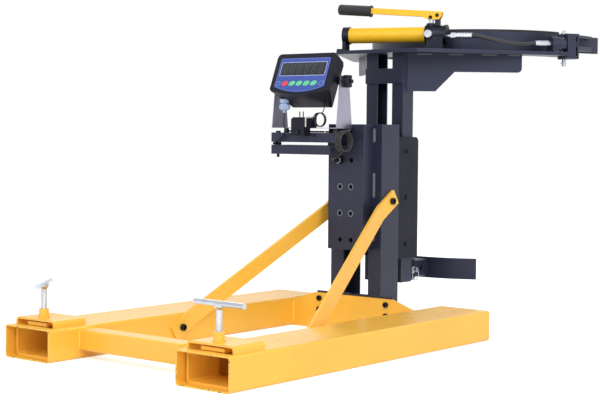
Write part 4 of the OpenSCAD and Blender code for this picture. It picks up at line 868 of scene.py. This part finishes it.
class DRUMLIFTER_OT_camera(bpy.types.Operator):
    """Places the camera where the photograph was taken from"""

    bl_idname = "drumlifter.camera"
    bl_label = "Camera"

    def execute(self, context):
        yaw, pitch, roll = (math.radians(v) for v in CAMERA_TURN)
        ahead = np.array([
            math.cos(pitch) * math.cos(yaw), math.cos(pitch) * math.sin(yaw), math.sin(pitch)])
        right = np.array([math.sin(yaw), -math.cos(yaw), 0.0])
        up = np.cross(right, ahead)
        turned = (
            right * math.cos(roll) + up * math.sin(roll),
            up * math.cos(roll) - right * math.sin(roll),
            -ahead,
        )
        lens = bpy.data.cameras.new("photo_camera")
        lens.lens, lens.sensor_width = CAMERA_LENS, CAMERA_SENSOR
        lens.clip_start, lens.clip_end = 0.05, 50.0
        made = new_object("photo_camera", lens)
        place_at = np.eye(4)
        place_at[:3, :3] = np.stack(turned, axis=1)
        place_at[:3, 3] = CAMERA_AT
        made.matrix_world = Matrix(place_at.tolist())
        context.scene.camera = made
        return {"FINISHED"}


class DRUMLIFTER_OT_pump_hose(bpy.types.Operator):
    """Hydraulic hose from the pump to the clamp cylinder, with the crimps of its ferrules"""

    bl_idname = "drumlifter.pump_hose"
    bl_label = "Pump hose"

    def execute(self, context):
        middle = mm(
            (272, -243, 815), (294, -265, 808), (322, -282, 802), (352, -296, 799),
            (381, -306, 799), (400, -313, 801),
        )
        port = [pump_point(s, rise=-PORT_DROP) for s in HOSE_OUT]
        inlet = [cylinder_point(s) for s in HOSE_IN]
        path = np.vstack([port[0], smooth_path([*port[1:], *middle, *inlet[:2]], 8), inlet[2]])
        hose = piece("hydraulic_hose", [skin(tube_rings(path, sizes().hose_d / 2, 24))],
                     "hose_cover", "lift_frame")
        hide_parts("pump_hose")
        crimps = []
        ridge = np.linspace(0, math.pi, 7)
        for start, along, first in (
            (pump_point(311, rise=-PORT_DROP), PUMP_A, 6.0),
            (cylinder_point(-76), -CYL_D, 5.0),
        ):
            for k in range(4):
                stations = first + k * CRIMP_PITCH + CRIMP_WIDE * (ridge / math.pi - 0.5)
                radii = FERRULE_R + CRIMP_RISE * np.sin(ridge)
                crimps.append(turned_skin(radii, stations, start, along))
        piece("ferrule_crimps", crimps, "zinc_plate", "lift_frame")
        return {"FINISHED"}


class DRUMLIFTER_OT_load_cable(bpy.types.Operator):
    """Load cell cable from its gland, coiled at the housing, along the tray to the plug"""

    bl_idname = "drumlifter.load_cable"
    bl_label = "Load cell cable"

    def execute(self, context):
        before = [
            (-47.5, 18.5, 474.5), (-61.5, 18.5, 474.5), (-75, 15, 475), (-86, 2, 479),
            (-90, -18, 487), (-95, -31, 496),
        ]
        coil = loops((-105, -36, 526), (0, 0, -1), (-1, 0, 0), (0, -1, 0), 27, 3.5, 5.5, 15, 48)
        after = [
            (-92, -55, 557), (-81, -46, 557), (-76, -32, 555), (-75, -14, 552), (-76, 12, 551),
            (-76, 50, 551), (-76, 100, 551), (-84, 128, 551), (-100, 142, 551.5),
            (-114, 150, 557), (-118, 154, 568), (-115, 158, 580), (-109.5, 160, 590),
            (-108, 160, 601.6),
        ]
        path = np.vstack([
            smooth_path([*before, coil[0]], 8), coil[1:-1], smooth_path([coil[-1], *after], 8),
        ]) * MM
        cable = piece("load_cable", [skin(tube_rings(path, sizes().cable_d / 2, 14))],
                      "cable_sheath", None)
        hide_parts("load_cell_cable")
        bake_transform(cable)
        return {"FINISHED"}


class DRUMLIFTER_OT_charger_lead(bpy.types.Operator):
    """Charger lead in three loops from the indicator to the plug-in charger"""

    bl_idname = "drumlifter.charger_lead"
    bl_label = "Charger lead"

    def execute(self, context):
        coil = loops((-90, 45, 583.7), (0, 0, 1), (0, 1, 0), (-1, 0, 0), 18.5, 3, 3.4, -10, 48)
        path = np.vstack([
            smooth_path([(-97, 30, 620), (-97, 30, 615), (-95, 33, 609), coil[0]], 8),
            coil[1:-1],
            smooth_path([
                coil[-1], (-103, 52.5, 600.5), (-107, 58, 593), (-109.5, 59.5, 586),
                (-110, 62, 581.5), (-110, 65.7, 580),
            ], 8),
        ]) * MM
        lead = piece("thin_lead", [skin(tube_rings(path, sizes().lead_d / 2, 12))],
                     "cable_sheath", "frame")
        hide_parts("charger_lead")
        return {"FINISHED"}


class DRUMLIFTER_OT_welds(bpy.types.Operator):
    """Weld beads of the fork frame and of the mast, in the CAD's own plain paints"""

    bl_idname = "drumlifter.welds"
    bl_label = "Weld beads"

    def execute(self, context):
        w = sizes().bead_w
        yellow, dark = [], []
        for side in (-1, 1):
            wall = side * POCKET_WALL_Y
            for x0, z0, x1, z1, share in (
                (-0.811, 0.026, -0.811, 0.068, 0.8), (-0.807, 0.0722, -0.760, 0.0722, 0.7),
                (-0.756, 0.026, -0.756, 0.068, 0.8), (-0.0045, 0.006, -0.0045, 0.072, 0.9),
                (0.0045, 0.006, 0.0045, 0.072, 0.9),
            ):
                yellow.append(bead_skin((x0, wall, z0), (x1, wall, z1), w * share))
            for y in TOP_BEADS_Y:
                start, end = ((x, side * y, POCKET_TOP_Z) for x in (-0.872, -0.788))
                yellow.append(bead_skin(start, end, w * 0.55))
            for heights in ((0.252, 0.290), (0.370, 0.441), (0.521, 0.562)):
                start, end = ((HOUSING_SEAM_X, side * HOUSING_SEAM_Y, z) for z in heights)
                dark.append(bead_skin(start, end, w * 1.6, 0.2))
            for reaches in ((0.0865, 0.050), (0.0430, 0.0180)):
                start, end = ((BASE_EDGE_X, side * y, BASE_EDGE_Z) for y in reaches)
                dark.append(bead_skin(start, end, w * 0.3))
        piece("frame_welds", yellow, "yellow_paint", "frame", 60)
        piece("mast_welds", dark, "dark_paint", "frame", 60)
        return {"FINISHED"}


class DRUMLIFTER_OT_clamp_welds(bpy.types.Operator):
    """Weld beads of the webs, of the clamp's band and of the lower arm's receiver"""

    bl_idname = "drumlifter.clamp_welds"
    bl_label = "Weld beads of the clamp"

    def execute(self, context):
        w = sizes().bead_w
        along = np.array([math.cos(WEB_TURN), math.sin(WEB_TURN), 0.0])
        off = np.array([-along[1], along[0], 0.0]) * WEB_HALF
        beads = []
        for side in (-1, 1):
            flip = np.array([1.0, side, 1.0])
            for reaches in ((0.015, 0.060), (0.105, 0.150), (0.200, 0.245), (0.275, 0.312)):
                start, end = ((WEB_ROOT + along * s + off) * flip for s in reaches)
                beads.append(bead_skin(start, end, w))
            start, end = ((RECEIVER_X, side * RECEIVER_Y, z) for z in (0.188, 0.130))
            beads.append(bead_skin(start, end, w * 0.7))
        for arc in ((200, 206), (168, 174), (150, 156), (186, 192), (212, 218), (228, 234)):
            a = np.radians(arc)
            start, end = np.stack([
                DRUM_X + SEAM_R * np.cos(a), SEAM_R * np.sin(a), np.full(2, SEAM_Z)], -1)
            beads.append(bead_skin(start, end, w * 0.8))
        piece("clamp_welds", beads, "dark_paint", "lift_frame", 60)
        return {"FINISHED"}


class DRUMLIFTER_OT_threads(bpy.types.Operator):
    """Threads of the two clamp screws, as a helical ridge round each shank"""

    bl_idname = "drumlifter.threads"
    bl_label = "Screw threads"

    def execute(self, context):
        pitch = sizes().thread_pitch
        a = 2 * math.pi * np.arange(28) / 28
        z = np.arange(THREAD_FROM, THREAD_TO, pitch / 6)
        phase = (z[:, None] / pitch - a[None, :] / (2 * math.pi)) % 1.0
        r = SHANK_R + THREAD_RISE * (1 - np.abs(2 * phase - 1)) ** 0.8
        for side, label in ((-1, "near"), (1, "far")):
            rings = np.stack([
                SCREW_X + r * np.cos(a), side * SCREW_Y + r * np.sin(a),
                np.broadcast_to(z[:, None], r.shape),
            ], -1)
            piece("screw_thread_" + label, [skin(rings)], "zinc_plate",
                  "screw_" + label, 80)
        return {"FINISHED"}


class DRUMLIFTER_OT_display(bpy.types.Operator):
    """Display window with its unlit digits, its pale frame and the row of keys"""

    bl_idname = "drumlifter.display"
    bl_label = "Display and keys"

    def execute(self, context):
        tone = colours()
        satin("display_glass", linear(26, 28, 34), 0.2, 0.03)
        satin("display_segments", linear(56, 60, 72), 0.35, 0.03)
        satin("panel_rim", tone.rim[:], 0.35)
        satin("key_red", tone.red[:], 0.35)
        satin("key_green", tone.green[:], 0.35)
        middle = (0, WINDOW_Y)
        glass = rounded_outline(WINDOW_W - 0.0002, WINDOW_H - 0.0002, 0.001, 3) + middle
        piece("display_window", [front_plate(glass, 0.0006, 0.0010, 0.0001)],
              "display_glass", "indicator")
        bars = digit_bars(sizes().digit_h)
        digits = [
            front_plate(bar + (x, WINDOW_Y), 0.0009, 0.00115, 0.00005)
            for x in DIGITS_X for bar in bars
        ]
        piece("display_digits", digits, "display_segments", "indicator", 30)
        edge = rounded_outline(WINDOW_W + 0.0012, WINDOW_H + 0.0012, 0.0015) + middle
        piece("display_frame", [front_border(edge, 0.0022, 0.0012, 0.0017)],
              "panel_rim", "indicator", 30)
        key = oval_outline(0.0098, 0.0072, 2.6, 0.42)
        for label, finish, spots in (
            ("red_key", "key_red", RED_KEY_X), ("green_keys", "key_green", GREEN_KEYS_X),
        ):
            raised = [front_plate(key + (x, KEY_Y), 0.0012, 0.0020, 0.0006) for x in spots]
            piece(label, raised, finish, "indicator", 50)
        rings = [
            front_border(key * 0.82 + (x, KEY_Y), 0.0009, 0.0012, 0.0017)
            for x in OUTLINE_KEYS_X
        ]
        piece("outline_keys", rings, "panel_rim", "indicator", 30)
        return {"FINISHED"}


class DRUMLIFTER_OT_small_parts(bpy.types.Operator):
    """Valve knurl, plug collar, tray screw, gland nut, painted highlight strips on the charger's
    edges, painted highlight rings round screws, handle pins
    """

    bl_idname = "drumlifter.small_parts"
    bl_label = "Small parts"

    def execute(self, context):
        knurl = turned_skin(
            (10.5, 11.0, 11.0, 10.5), (0.3, 1.0, 8.6, 9.6), pump_point(240, -36.0), PUMP_B,
            sides=144, lobes=36, lobe=0.014)
        piece("valve_knurl", [knurl], "zinc_plate", "valve", 60)
        collar = turned_skin(
            (12.0, 12.8, 12.8, 12.0), (9.0, 10.0, 23.0, 24.5), PLUG_AT, UP,
            sides=96, lobes=12, lobe=0.04)
        ring = turned_skin(
            (9.4, 13.0, 13.6, 11.5), (27.0, 28.0, 36.0, 38.5), PLUG_AT, UP,
            sides=48, lobes=6, lobe=0.05)
        piece("plug_collar", [collar, ring], "plug_shell", "indicator", 60)
        screw = turned_skin(
            (4.4, 4.4, 3.4, 0.6), (-0.4, 2.6, 4.0, 4.6), TRAY_SCREW_AT, UP, sides=32)
        piece("tray_screw", [screw], "zinc_plate", "frame", 30)
        nut = turned_skin(
            (8.2, 9.6, 9.6, 8.4), (0.2, 0.8, 4.2, 5.0), GLAND_AT, (-1, 0, 0), sides=6)
        piece("gland_nut", [nut], "zinc_plate", "frame", 30)
        # pale strips along the charger's top and front edges: painted highlight on its rounded
        # edges, in the guide pads' nylon finish
        highlight_strips = [bead_skin(CHARGER_CORNER, end, 0.0044, 0.0) for end in CHARGER_ENDS]
        piece("charger_edge_highlight", highlight_strips, "nylon_pads", "frame", 60)
        # pale rings round the screws of the housing and the cheeks: painted highlight on their
        # rims
        highlight_rings = [
            screw_highlight_ring(0.0078, 0.0030, 0.0008, (HOUSING_X, y, z), (0, -1, 0), (-1, 0, 0))
            for y in HOUSING_ROWS_Y for z in HOUSING_ROWS_Z
        ]
        highlight_rings += [
            screw_highlight_ring(0.0052, 0.0022, 0.0006, (CHEEK_X, CHEEK_Y, z), (1, 0, 0), (0, -1, 0))
            for z in CHEEK_ROWS_Z
        ]
        piece("screw_highlight_rings", highlight_rings, "highlight_zinc", "frame", 30)
        pins = [
            turned_skin((5.2, 5.2, 4.4), (0.0, 1.6, 2.4), pump_point(s, side * 10.0, z),
                        PUMP_B * side, sides=32)
            for s, z in ((259.0, 53.0), (240.0, 47.7)) for side in (-1, 1)
        ]
        piece("handle_pins", pins, "black_oxide", "handle", 30)
        return {"FINISHED"}


class DRUMLIFTER_OT_stage(bpy.types.Operator):
    """Pale floor, white background and soft lamps"""

    bl_idname = "drumlifter.stage"
    bl_label = "Stage and light"

    def execute(self, context):
        scene = context.scene
        scene.view_settings.view_transform = "Standard"
        grid = np.array([(-30, -30, 0), (30, -30, 0), (30, 30, 0), (-30, 30, 0)], float)
        mesh = bpy.data.meshes.new("floor")
        mesh.from_pydata(grid.tolist(), [], [(0, 1, 2, 3)])
        new_object("floor", mesh)
        tree, shader = empty_material("pale_floor")
        grain = spread(tree, noise(tree, place(tree), 3.0), 0.86, 0.9)
        grey = node(tree, "ShaderNodeCombineColor", {0: grain, 1: grain, 2: grain})
        wire(tree, shader, {
            "Base Color": grey.outputs[0], "Roughness": 0.9, "Specular IOR Level": 0.0,
            "Emission Color": WHITE, "Emission Strength": times(tree, looked_at(tree), 0.55),
        })
        mesh.materials.append(bpy.data.materials["pale_floor"])
        scene.world = bpy.data.worlds.new("white_room")
        tree = bare_tree(scene.world)
        strength = span(tree, looked_at(tree), 0, 1, 0.62, 1.0)
        back = node(tree, "ShaderNodeBackground", {"Color": WHITE, "Strength": strength})
        node(tree, "ShaderNodeOutputWorld", {0: back.outputs[0]})
        for name, spot, size, watts in LAMPS:
            lamp = bpy.data.lights.new(name, "AREA")
            lamp.shape, lamp.size, lamp.energy = "DISK", size, watts * sizes().lamp
            aim = LAMP_AIM - np.array(spot)
            from_z = -aim / np.linalg.norm(aim)
            across = np.cross((0, 0, 1), from_z)
            across /= np.linalg.norm(across)
            turn = Matrix(np.stack([across, np.cross(from_z, across), from_z], axis=1).tolist())
            new_object(name, lamp).matrix_world = Matrix.Translation(spot) @ turn.to_4x4()
        return {"FINISHED"}


STEPS = (
    DRUMLIFTER_OT_finishes,
    DRUMLIFTER_OT_camera,
    DRUMLIFTER_OT_pump_hose,
    DRUMLIFTER_OT_load_cable,
    DRUMLIFTER_OT_charger_lead,
    DRUMLIFTER_OT_welds,
    DRUMLIFTER_OT_clamp_welds,
    DRUMLIFTER_OT_threads,
    DRUMLIFTER_OT_display,
    DRUMLIFTER_OT_small_parts,
    DRUMLIFTER_OT_stage,
)


class DRUMLIFTER_PT_panel(bpy.types.Panel):
    """Sizes, colours and building steps of the drum lifter"""

    bl_label = "Drum Lifter"
    bl_idname = "DRUMLIFTER_PT_panel"
    bl_space_type = "VIEW_3D"
    bl_region_type = "UI"
    bl_category = "Drum Lifter"

    def draw(self, context):
        for group in (context.scene.drum_lifter_sizes, context.scene.drum_lifter_colours):
            column = self.layout.column()
            for key in group.__annotations__:
                column.prop(group, key)
        for step in STEPS:
            self.layout.operator(step.bl_idname)


CLASSES = (DrumLifterColours, DrumLifterSizes, *STEPS, DRUMLIFTER_PT_panel)


def register():
    for made in CLASSES:
        bpy.utils.register_class(made)
    bpy.types.Scene.drum_lifter_colours = bpy.props.PointerProperty(type=DrumLifterColours)
    bpy.types.Scene.drum_lifter_sizes = bpy.props.PointerProperty(type=DrumLifterSizes)


def unregister():
    del bpy.types.Scene.drum_lifter_sizes
    del bpy.types.Scene.drum_lifter_colours
    for made in reversed(CLASSES):
        bpy.utils.unregister_class(made)


def main():
    register()
    bpy.ops.drumlifter.finishes()
    bpy.ops.drumlifter.camera()
    bpy.ops.drumlifter.pump_hose()
    bpy.ops.drumlifter.load_cable()
    bpy.ops.drumlifter.charger_lead()
    bpy.ops.drumlifter.welds()
    bpy.ops.drumlifter.clamp_welds()
    bpy.ops.drumlifter.threads()
    bpy.ops.drumlifter.display()
    bpy.ops.drumlifter.small_parts()
    bpy.ops.drumlifter.stage()


if __name__ == "__main__":
    main()
